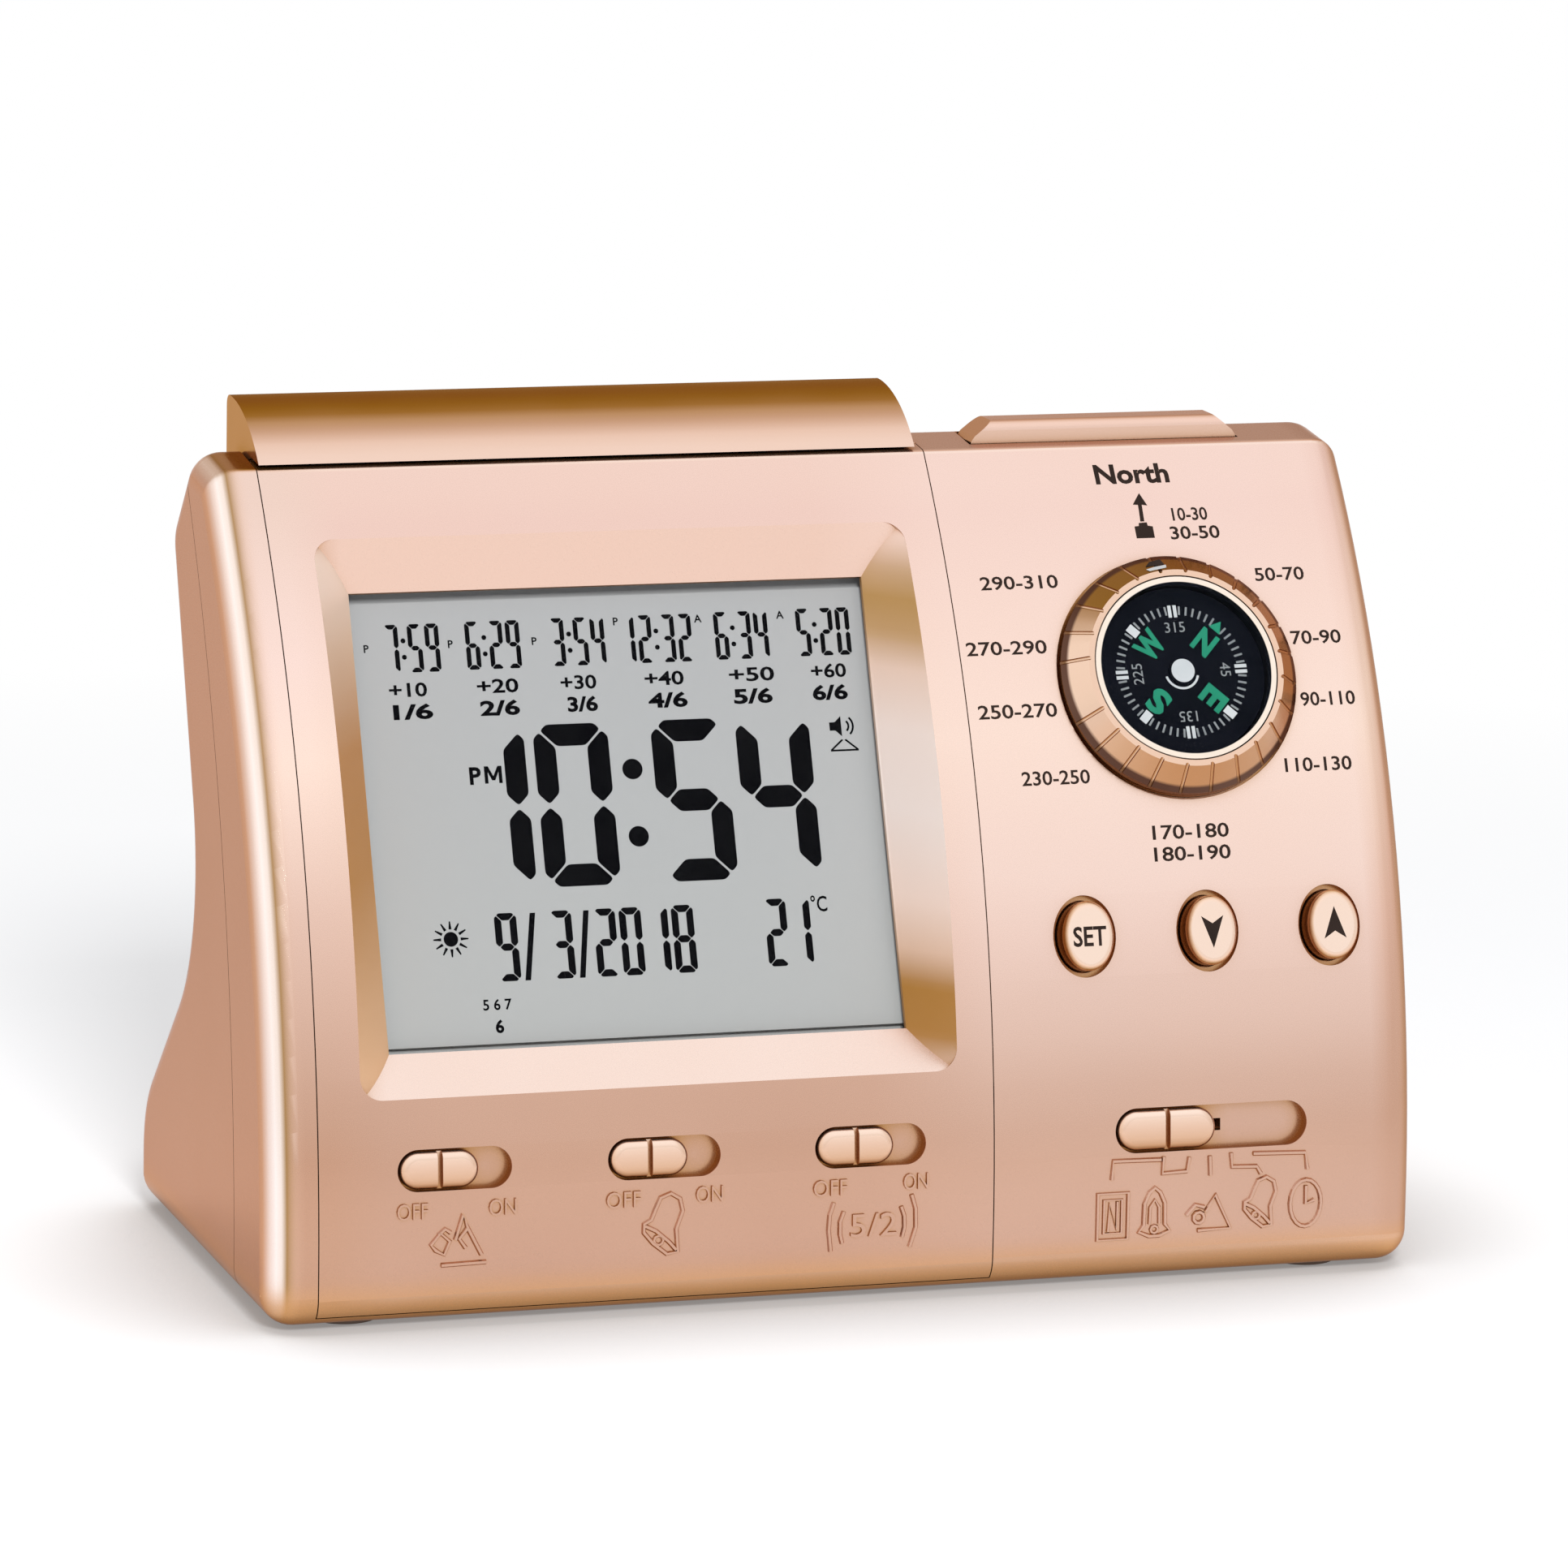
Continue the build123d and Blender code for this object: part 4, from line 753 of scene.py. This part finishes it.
def time_row(sheet, text, u, v):
    """Small figures of one time, with a colon of two dots."""
    width, height, pitch, colon = 1.52, 5.15, 1.86, 0.68
    for character in text:
        if character == ":":
            for share in (0.32, 0.66):
                dot = ring(0.27, 12, (colon - pitch + width) / 2, height * share)
                sheet.prism(dot, on_display(u, v), FILM)
            u += colon
        else:
            digit(sheet, character, u, v, width, height, 0.50, 0.07)
            u += pitch


def slash(sheet, foot, head, v, height, edge):
    sheet.prism([(foot, 0), (foot + edge, 0), (head, height), (head - edge, height)], on_display(0, v), FILM)


def display():
    sheet = Sheet("display_figures", SEGMENT)
    for text, u, v in (
        ("7:59", 3.2, 40.4), ("6:29", 11.95, 40.45), ("3:54", 21.2, 40.5),
        ("12:32", 28.9, 40.5), ("6:34", 39.2, 40.55), ("5:20", 48.3, 40.6),
    ):
        time_row(sheet, text, u, v)
    for text, u in (("1", 9.15), ("0", 18.3), ("5", 31.15), ("4", 40.45)):
        digit(sheet, text, u, 17.0, 8.15, 17.3, 2.35, 0.32)
    for v in (22.0, 29.2):
        sheet.prism(ring(1.1, 28, 28.8, v), on_display(0, 0), FILM)
    for text, u in (("9", 12.3), ("3", 18.25), ("2", 23.0), ("0", 25.8), ("1", 28.7), ("8", 31.5)):
        digit(sheet, text, u, 7.3, 2.4, 7.2, 0.76, 0.1)
    slash(sheet, 15.1, 16.8, 7.3, 7.1, 0.6)
    slash(sheet, 21.0, 22.6, 7.3, 7.1, 0.6)
    for text, u in (("2", 41.7), ("1", 44.3)):
        digit(sheet, text, u, 7.5, 2.4, 7.2, 0.76, 0.1)
    labels = ((3.1, 7.5, 3.5, 7.8), (12.6, 17.4, 12.0, 18.1), (21.7, 25.9, 22.4, 25.7),
              (30.9, 35.5, 31.2, 35.6), (40.2, 45.5, 40.0, 45.6), (49.3, 53.5, 49.4, 53.3))
    for n, (left, right, low_left, low_right) in enumerate(labels):
        v = 38.6 + 0.08 * n
        upper = on_display((left + right) / 2, v)
        sheet.word("+%d0" % (n + 1), upper, 1.5, FILM, bold=0.02, width=right - left - 0.3)
        lower = on_display((low_left + low_right) / 2, v - 2.35)
        sheet.word("%d/6" % (n + 1), lower, 1.55, FILM, bold=0.035, width=min(low_right - low_left, 4.3))
    for text, u, v in (("P", 1.2, 43.1), ("P", 10.3, 43.3), ("P", 19.4, 43.3), ("P", 28.45, 45.1),
                       ("A", 37.5, 45.1), ("A", 46.6, 45.2)):
        sheet.word(text, on_display(u, v), 0.85, FILM, bold=0.02)
    sheet.word("P", on_display(11.7, 29.2), 1.85, FILM, bold=0.03, width=1.25)
    letter_m = [(-0.95, -0.92), (-0.58, -0.92), (-0.58, 0.3), (-0.17, -0.6), (0.17, -0.6), (0.58, 0.3),
                (0.58, -0.92), (0.95, -0.92), (0.95, 0.92), (0.52, 0.92), (0, -0.15), (-0.52, 0.92),
                (-0.95, 0.92)]
    sheet.prism(letter_m, on_display(13.65, 29.2), FILM)
    sheet.word("\N{DEGREE SIGN}C", on_display(47.8, 14.0), 1.7, FILM, bold=0.012, width=1.8)
    sheet.word("5 6 7", on_display(11.85, 4.95), 1.15, FILM, bold=0.02, width=3.1)
    sheet.word("6", on_display(11.9, 2.65), 1.35, FILM, bold=0.035)
    sheet.prism(ring(0.78, 24), on_display(7.5, 12.0), FILM)
    for n in range(12):
        t = math.radians(30 * n)
        c, s = math.cos(t), math.sin(t)
        ray = [(1.05 * c - 0.16 * s, 1.05 * s + 0.16 * c), (1.05 * c + 0.16 * s, 1.05 * s - 0.16 * c),
               (1.9 * c + 0.07 * s, 1.9 * s - 0.07 * c), (1.9 * c - 0.07 * s, 1.9 * s + 0.07 * c)]
        sheet.prism(ray[::-1], on_display(7.5, 12.0), FILM)
    speaker = on_display(52.2, 32.9)
    horn = [(-1.3, -0.45), (-0.7, -0.45), (0.0, -1.1), (0.0, 1.1), (-0.7, 0.45), (-1.3, 0.45)]
    sheet.prism(horn, speaker, FILM)
    for radius in (0.7, 1.2):
        outer = ring(radius + 0.11, 9, 0.1, 0, -48, 96)
        inner = ring(radius - 0.11, 9, 0.1, 0, -48, 96)
        sheet.prism(outer + inner[::-1], speaker, FILM)
    foot = on_display(52.3, 30.9)
    for path in ([(-1.5, -0.7), (1.6, -0.7), (1.6, -0.5), (-1.5, -0.5)],
                 [(-1.5, -0.5), (-0.2, 0.6), (0.0, 0.5), (-1.2, -0.5)],
                 [(1.6, -0.5), (0.3, 0.6), (0.1, 0.5), (1.3, -0.5)]):
        sheet.prism(path, foot, FILM)
    sheet.finish("case", "lcd_glass")


display()


# ---- printed and raised marks on the panel --------------------------------------------------------
INK_LIFT = 0.004
INK_FILM = 0.012


def panel_print():
    sheet = Sheet("panel_print", INK)
    sheet.word("North", on_face(38.25, 82.75, INK_LIFT), 2.35, INK_FILM, bold=0.03, width=8.4)
    arrow = [(-0.28, -1.9), (0.16, -1.9), (0.24, 0.1), (0.85, 0.0), (0.2, 1.5), (-0.75, 0.15), (-0.18, 0.1)]
    sheet.prism(arrow, on_face(38.45, 79.6, INK_LIFT), INK_FILM)
    block = [(-1.05, -0.85), (1.0, -0.85), (1.0, 0.5), (0.45, 0.6), (0.4, 1.0), (-0.5, 0.95), (-0.55, 0.6),
             (-1.05, 0.55)]
    sheet.prism(block, on_face(38.45, 77.15, INK_LIFT), INK_FILM)
    for text, left, right, z in (
        ("290-310", 18.9, 27.6, 72.6), ("270-290", 16.2, 25.2, 66.3), ("250-270", 16.6, 25.4, 60.1),
        ("230-250", 20.6, 28.2, 53.4), ("50-70", 50.0, 55.6, 72.6), ("70-90", 52.9, 58.6, 66.3),
        ("90-110", 53.0, 59.2, 60.2), ("110-130", 50.3, 57.9, 53.7), ("170-180", 34.6, 43.2, 47.5),
        ("180-190", 34.6, 43.2, 45.3), ("10-30", 41.9, 45.9, 78.7), ("30-50", 41.3, 46.9, 76.9),
    ):
        place = on_face((left + right) / 2, z, INK_LIFT)
        sheet.word(text, place, 1.55, INK_FILM, bold=0.012, width=right - left)
    sheet.finish("case", "lacquer")


panel_print()


LEANING_BELL = [
    (-2.2, 0.1), (-1.4, 0.5), (-1.0, 1.5), (-0.4, 2.8), (0.7, 3.2), (1.7, 2.6), (2.0, 1.3), (1.3, -0.6),
    (1.5, -3.0), (0.3, -3.2), (-1.2, -2.0), (-2.2, -0.8),
]
BELL = [
    (-1.75, -2.2), (-1.2, -1.5), (-1.15, 0.8), (-0.6, 2.0), (0, 2.5), (0.6, 2.0), (1.15, 0.8), (1.2, -1.5),
    (1.75, -2.2), (0.6, -2.7), (-0.6, -2.7),
]
LINE = 0.27
RAISED, SUNK = 0.34, -0.1


def scaled(points, size):
    return [(a * size, b * size) for a, b in points]


def leaning_bell(sheet, place, size):
    """Outline of a bell that leans to the right, with its mouth and clapper."""
    sheet.stroke(scaled(LEANING_BELL, size), place, LINE, closed=True)
    sheet.stroke(scaled([(-2.1, -0.1), (-0.9, -0.7), (0.5, -1.9), (1.3, -2.8)], size), place, LINE)
    sheet.stroke(ring(0.5 * size, 8, -0.6 * size, -1.7 * size), place, LINE * 0.8, closed=True)


def raised_marks():
    """OFF, ON and the small pictures under the slots, raised from the moulding."""
    sheet = Sheet("raised_marks", LACQUER)
    for text, left, right, z in (
        ("OFF", -49.45, -46.15, 12.65), ("ON", -39.65, -36.75, 12.65), ("OFF", -27.05, -23.35, 12.65),
        ("ON", -17.35, -14.45, 12.75), ("OFF", -4.55, -0.85, 12.65), ("ON", 5.35, 8.05, 12.85),
    ):
        sheet.word(text, on_face((left + right) / 2, z), 1.8, RAISED, width=right - left, low=SUNK)
    tune = on_face(-43.15, 9.3)
    sheet.stroke([(-1.6, -2.5), (3.2, -2.4)], tune, LINE)
    note = [(-2.7, -0.3), (-1.7, 0.9), (-0.7, 0.0), (-1.3, -1.4), (-2.2, -0.9)]
    sheet.stroke(note, tune, LINE, closed=True)
    sheet.stroke([(-1.9, 0.7), (-1.2, 1.3), (-0.6, 0.9)], tune, LINE)
    sheet.stroke([(-0.1, 0.1), (0.7, 2.7), (1.2, 1.3), (2.7, -1.6)], tune, LINE)
    sheet.stroke([(1.2, 1.3), (0.3, 0.2), (1.0, -0.8)], tune, LINE)
    leaning_bell(sheet, on_face(-20.8, 9.8), 1.0)
    wave = on_face(2.0, 8.5)
    for path in (
        [(-4.3, 2.5), (-4.75, 1.2), (-4.85, -0.4), (-4.6, -2.7)],
        [(-3.2, 1.5), (-3.6, 0.4), (-3.6, -0.9), (-3.35, -1.9)],
        [(3.1, 1.7), (3.45, 0.7), (3.5, -0.5), (3.25, -1.6)],
        [(4.25, 2.9), (4.7, 1.4), (4.75, -0.6), (4.1, -2.7)],
    ):
        sheet.stroke(path, wave, LINE)
    sheet.word("5/2", on_face(2.1, 8.5), 2.6, RAISED, width=5.1, low=SUNK)
    for path in (
        [(28.55, 11.7), (28.65, 13.7), (34.05, 13.6)],
        [(34.35, 13.9), (34.2, 12.1), (36.95, 12.2), (37.25, 13.7)],
        [(39.55, 13.7), (39.65, 11.6)],
        [(41.95, 13.9), (42.05, 12.4), (44.85, 12.3), (45.35, 11.5)],
        [(44.45, 13.7), (50.35, 13.5), (50.65, 11.7)],
    ):
        sheet.stroke([(x, z - 12.0) for x, z in path], on_face(0, 12.0), LINE)
    book = on_face(28.7, 7.75)
    sheet.stroke([(-1.7, -2.5), (1.7, -2.5), (1.7, 2.5), (-1.7, 2.5)], book, LINE, closed=True)
    sheet.stroke([(-1.0, -1.8), (-1.0, 1.8), (1.0, 1.8), (1.0, -1.8)], book, LINE * 0.8, closed=True)
    sheet.stroke([(-0.5, -1.6), (-0.4, 1.4), (0.4, -1.4), (0.5, 1.6)], book, LINE * 0.8)
    place = on_face(33.4, 8.1)
    sheet.stroke(BELL, place, LINE, closed=True)
    sheet.stroke([(-0.55, -1.4), (-0.5, 0.4), (0, 1.2), (0.5, 0.4), (0.55, -1.4)], place, LINE * 0.8)
    sheet.stroke(ring(0.4, 8, 0, -2.0), place, LINE * 0.8, closed=True)
    hill = on_face(39.6, 7.4)
    sheet.stroke([(-1.3, -1.7), (2.4, -1.6), (0.6, 2.1), (-0.4, 0.3)], hill, LINE)
    sheet.stroke(ring(0.6, 9, -1.2, -0.3), hill, LINE, closed=True)
    sheet.stroke([(-2.6, 0.0), (-1.6, 1.1), (-0.6, 0.8)], hill, LINE)
    leaning_bell(sheet, on_face(45.4, 8.4), 0.84)
    clock = on_face(50.5, 8.0)
    sheet.stroke(ring(1.75, 20, 0, 0, ratio=1.45), clock, LINE, closed=True)
    sheet.stroke([(0, 1.9), (0, 0), (0.95, 0.3)], clock, LINE)
    sheet.finish("case", "lacquer")


raised_marks()


def key_marks():
    """SET and the two arrowheads on the keys."""
    height = 37.3
    tilt = math.degrees(math.asin((height - FACE_UPRIGHT) / FACE_RADIUS))
    y = FACE_CENTRE_Y - FACE_RADIUS * math.cos(math.radians(tilt))
    proud = 1.702
    arrow = [(-1.25, -1.5), (0, -0.7), (1.25, -1.5), (0, 1.9)]
    for name, x in (("set_key", 26.15), ("down_key", 39.95), ("up_key", 53.75)):
        sheet = Sheet(name + "_mark", INK)
        place = on_plane((x, y, height), tilt, proud)
        if name == "set_key":
            sheet.word("SET", place, 2.1, INK_FILM, bold=0.02, width=3.7)
        else:
            flip = 1 if name == "up_key" else -1
            sheet.prism([(a * flip, b * flip) for a, b in arrow], place, INK_FILM)
        sheet.finish(name, "lacquer")


key_marks()


# ---- the compass ----------------------------------------------------------------------------------
CARD_TOP = 1.5
NORTH = -44
TRIM = 0.03
TICKS = 56          # every seventh one is a broad double mark


def ray(low, high, half, turn):
    """Short radial bar at an angle, as an outline round its edge."""
    c, s = math.cos(math.radians(turn)), math.sin(math.radians(turn))
    corners = [(low, -half), (high, -half), (high, half), (low, half)]
    return [(r * c - w * s, r * s + w * c) for r, w in corners]


def compass_print():
    """White scale with figures, and green letters for the four winds; north lies to the upper right."""
    white = Sheet("compass_scale_and_cap_reflection", CARD_WHITE)
    grey = Sheet("compass_figures", CARD_GREY)
    green = Sheet("compass_letters", CARD_GREEN)
    flat = on_plane(DIAL_MIDDLE, DIAL_TILT, CARD_TOP + INK_LIFT)
    for n in range(1, TICKS):
        turn = 90 + NORTH + n * 360 / TICKS
        if n % (TICKS // 8):
            grey.prism(ray(6.35, 7.3, 0.11, turn), flat, INK_FILM)
            continue
        apart, half = (0.3, 0.19) if n % (TICKS // 4) else (0.22, 0.24)
        c, s = math.cos(math.radians(turn)), math.sin(math.radians(turn))
        for side in (-apart, apart):
            bar = ray(6.05, 7.4, half, turn)
            white.prism([(a - side * s, b + side * c) for a, b in bar], flat, INK_FILM)
    for turn, text in ((0, "N"), (-90, "E"), (180, "S"), (90, "W")):
        a = math.radians(90 + NORTH + turn)
        place = turned(flat, 4.5 * math.cos(a), 4.5 * math.sin(a), NORTH + turn)
        green.word(text, place, 2.7, 0.014, bold=0.045, width=3.1 if text == "W" else 2.2)
    green.prism([(-0.75, 6.2), (0.75, 6.2), (0.0, 7.5)], turned(flat, 0, 0, NORTH), INK_FILM)
    for turn, text in ((-45, "45"), (-135, "135"), (135, "225"), (45, "315")):
        a = math.radians(90 + NORTH + turn)
        place = turned(flat, 5.0 * math.cos(a), 5.0 * math.sin(a), NORTH + turn)
        grey.word(text, place, 1.2, INK_FILM)
    # painted reflection: a pale crescent below the pivot cap, the cap's reflection
    outer, inner = ring(1.95, 24, 0, 0, 195, 150), ring(1.7, 24, 0, 0, 195, 150)
    white.prism(outer + inner[::-1], flat, INK_FILM)
    cap = Sheet("compass_cap", CARD_WHITE)
    for size, low in ((1.3, 0.45), (0.8, 0.475)):
        cap.prism(ring(size, 32), flat, TRIM, low)
    for sheet in (white, grey, green, cap):
        sheet.finish("card", "card")


def turned(place, a0, b0, turn):
    """Mapping moved to a0, b0 and turned anticlockwise."""
    c, s = math.cos(math.radians(turn)), math.sin(math.radians(turn))
    return lambda a, b, h: place(a0 + a * c - b * s, b0 + a * s + b * c, h)


compass_print()


def dial_pointer():
    """Dark arrowhead with a pale line at its tip, on the slope of the ring."""
    middle = on_plane(DIAL_MIDDLE, DIAL_TILT)
    turn = math.radians(98)
    c, s = math.cos(turn), math.sin(turn)
    rim, rise, run, fall = 10.9, 3.2, 2.3, 2.5

    def slope(a, b, h):
        size = math.hypot(run, fall)
        r = rim + b * run / size + h * fall / size
        return middle(r * c - a * s, r * s + a * c, rise - b * fall / size + h * run / size)

    for name, mat, outline in (
        ("dial_pointer", INK, [(-1.15, 2.5), (-1.1, 1.2), (1.0, 1.4), (0.2, 2.3)]),
        ("dial_pointer_edge", CARD_WHITE, [(-1.2, 1.05), (-1.0, 0.45), (1.0, 0.3), (1.2, 0.75), (0.2, 1.0)]),
    ):
        sheet = Sheet(name, mat)
        sheet.prism(outline[::-1], slope, TRIM, 0.005)
        sheet.finish("dial", "lacquer")


dial_pointer()


# ---- floor, light and background ------------------------------------------------------------------
def floor():
    """Pale floor that keeps the object's shadow, has a painted contact shadow round the object and fades to
    white farther out.
    """
    mesh = bpy.data.meshes.new("floor")
    half, low = 8.0, -0.02 * MM
    mesh.from_pydata([(-half, -half, low), (half, -half, low), (half, half, low), (-half, half, low)], [],
                     [(0, 1, 2, 3)])
    obj = bpy.data.objects.new("floor", mesh)
    bpy.context.scene.collection.objects.link(obj)
    f = Finish("floor", Roughness=0.9, Specular_IOR_Level=0.1)
    f.shader.inputs["Emission Color"].default_value = (1, 1, 1, 1)
    coords = f.add("TexCoord")
    length = f.add("VectorMath", operation="LENGTH")
    f.link(coords.outputs["Object"], length.inputs[0])
    # painted shadow: ambient occlusion darkens the floor round the object's foot
    corner = f.add("AmbientOcclusion", samples=16, Distance=34 * MM)
    painted_contact_shade = f.span(corner.outputs["AO"], 0.53, 1, 0.45, 0.90)
    pale = f.blend(f.noise(60), (0.93, 0.935, 0.945), (0.94, 0.945, 0.955))
    f.colour(f.blend(painted_contact_shade, (0.0, 0.0, 0.0), pale))
    white = f.add("Emission")
    white.inputs["Color"].default_value = (1, 1, 1, 1)
    far = f.span(length.outputs["Value"], 0, 1, 0.18, 0.34)
    path = f.add("LightPath")
    rays = ("Is Camera Ray", "Is Glossy Ray", "Is Transmission Ray")
    seen = chain(f, "MAXIMUM", [path.outputs[ray_kind] for ray_kind in rays])
    lift = product(f, seen, f.span(painted_contact_shade, 0, FLOOR_LIFT, 0, 1))
    f.link(lift, f.shader.inputs["Emission Strength"])
    mix = f.add("MixShader")
    f.link(product(f, far, seen), mix.inputs[0])
    f.link(f.shader.outputs[0], mix.inputs[1])
    f.link(white.outputs[0], mix.inputs[2])
    f.link(mix.outputs[0], f.out.inputs["Surface"])
    mesh.materials.append(f.mat)


def lamp(name, size, azimuth, elevation, distance, radiance, aim):
    """Square softbox at an azimuth (0 in front, positive to the left) and an elevation, facing aim."""
    data = bpy.data.lights.new(name, "AREA")
    data.shape = "SQUARE"
    data.size = size
    data.energy = radiance * math.pi * size * size
    obj = bpy.data.objects.new(name, data)
    obj.visible_glossy = False
    obj.visible_transmission = False
    a, e = math.radians(azimuth), math.radians(elevation)
    way = Vector((-math.sin(a) * math.cos(e), -math.cos(a) * math.cos(e), math.sin(e)))
    obj.location = Vector(aim) * MM + way * distance
    obj.rotation_euler = way.to_track_quat("Z", "Y").to_euler()
    bpy.context.scene.collection.objects.link(obj)


def studio():
    """Even room for the matt surfaces, a bright front and a warm rear for the gloss, white for the camera."""
    world = bpy.data.worlds.new("studio")
    bpy.context.scene.world = world
    world.use_nodes = True
    world.cycles.sampling_method = "NONE"
    nodes, links = world.node_tree.nodes, world.node_tree.links
    out = nodes["World Output"]
    coords = nodes.new("ShaderNodeTexCoord")
    split = nodes.new("ShaderNodeSeparateXYZ")
    links.new(coords.outputs["Generated"], split.inputs[0])
    ahead = nodes.new("ShaderNodeMath")
    ahead.operation = "MULTIPLY"
    ahead.inputs[1].default_value = -1
    links.new(split.outputs["Y"], ahead.inputs[0])
    turn = nodes.new("ShaderNodeMath")
    turn.operation = "ARCTAN2"
    links.new(split.outputs["Z"], turn.inputs[0])
    links.new(ahead.outputs[0], turn.inputs[1])
    share = nodes.new("ShaderNodeMapRange")
    share.inputs["From Min"].default_value = 0
    share.inputs["From Max"].default_value = math.pi
    links.new(turn.outputs[0], share.inputs["Value"])
    sky = fill_ramp(nodes.new("ShaderNodeValToRGB"), links, share.outputs["Result"], SKY)[0]
    edge = nodes.new("ShaderNodeMapRange")
    edge.inputs["From Min"].default_value = -1
    edge.inputs["From Max"].default_value = 1
    links.new(split.outputs["X"], edge.inputs["Value"])
    side, strength = fill_ramp(nodes.new("ShaderNodeValToRGB"), links, edge.outputs["Result"], SIDES)
    both = nodes.new("ShaderNodeMix")
    both.data_type = "RGBA"
    links.new(strength, both.inputs[0])
    links.new(sky, both.inputs[6])
    links.new(side, both.inputs[7])
    shaders = [nodes["Background"]]
    shaders[0].inputs["Strength"].default_value = 1.1
    links.new(both.outputs[2], shaders[0].inputs["Color"])
    for colour in (ROOM, (1, 1, 1)):
        plain = nodes.new("ShaderNodeBackground")
        plain.inputs["Color"].default_value = (*colour, 1)
        shaders.append(plain)
    path = nodes.new("ShaderNodeLightPath")
    result = shaders[0].outputs[0]
    for kind, plain in (
        ("Is Diffuse Ray", shaders[1]), ("Is Transmission Ray", shaders[2]), ("Is Camera Ray", shaders[2]),
    ):
        mix = nodes.new("ShaderNodeMixShader")
        links.new(path.outputs[kind], mix.inputs[0])
        links.new(result, mix.inputs[1])
        links.new(plain.outputs[0], mix.inputs[2])
        result = mix.outputs[0]
    links.new(result, out.inputs["Surface"])
    lamp("softbox", size=0.24, azimuth=9, elevation=31, distance=1.2, radiance=51.0, aim=(0, 0, 45))


# What the gloss shows: from the front's horizon over the top to the rear's, and from the left to the right.
SKY = [
    (0.0, (0.87, 0.86, 0.85)), (0.10, (0.93, 0.93, 0.93)), (0.2, (0.98, 0.98, 0.98)),
    (0.52, (0.98, 0.97, 0.96)), (0.64, (0.82, 0.74, 0.66)), (0.76, (0.64, 0.53, 0.43)),
    (0.94, (0.64, 0.53, 0.43)), (0.98, (0.86, 0.85, 0.84)),
]
SIDES = [
    (0.0, (1.0, 0.98, 0.96), 0.7), (0.18, (1.0, 0.98, 0.96), 0.7), (0.26, (1.0, 0.98, 0.96), 0),
    (0.76, (0.75, 0.66, 0.58), 0), (0.86, (0.75, 0.66, 0.58), 0.6), (1.0, (0.75, 0.66, 0.58), 0.6),
]
ROOM = (0.33, 0.335, 0.345)
FLOOR_LIFT = 0.42
floor()
studio()
bpy.context.scene.view_settings.view_transform = "Standard"
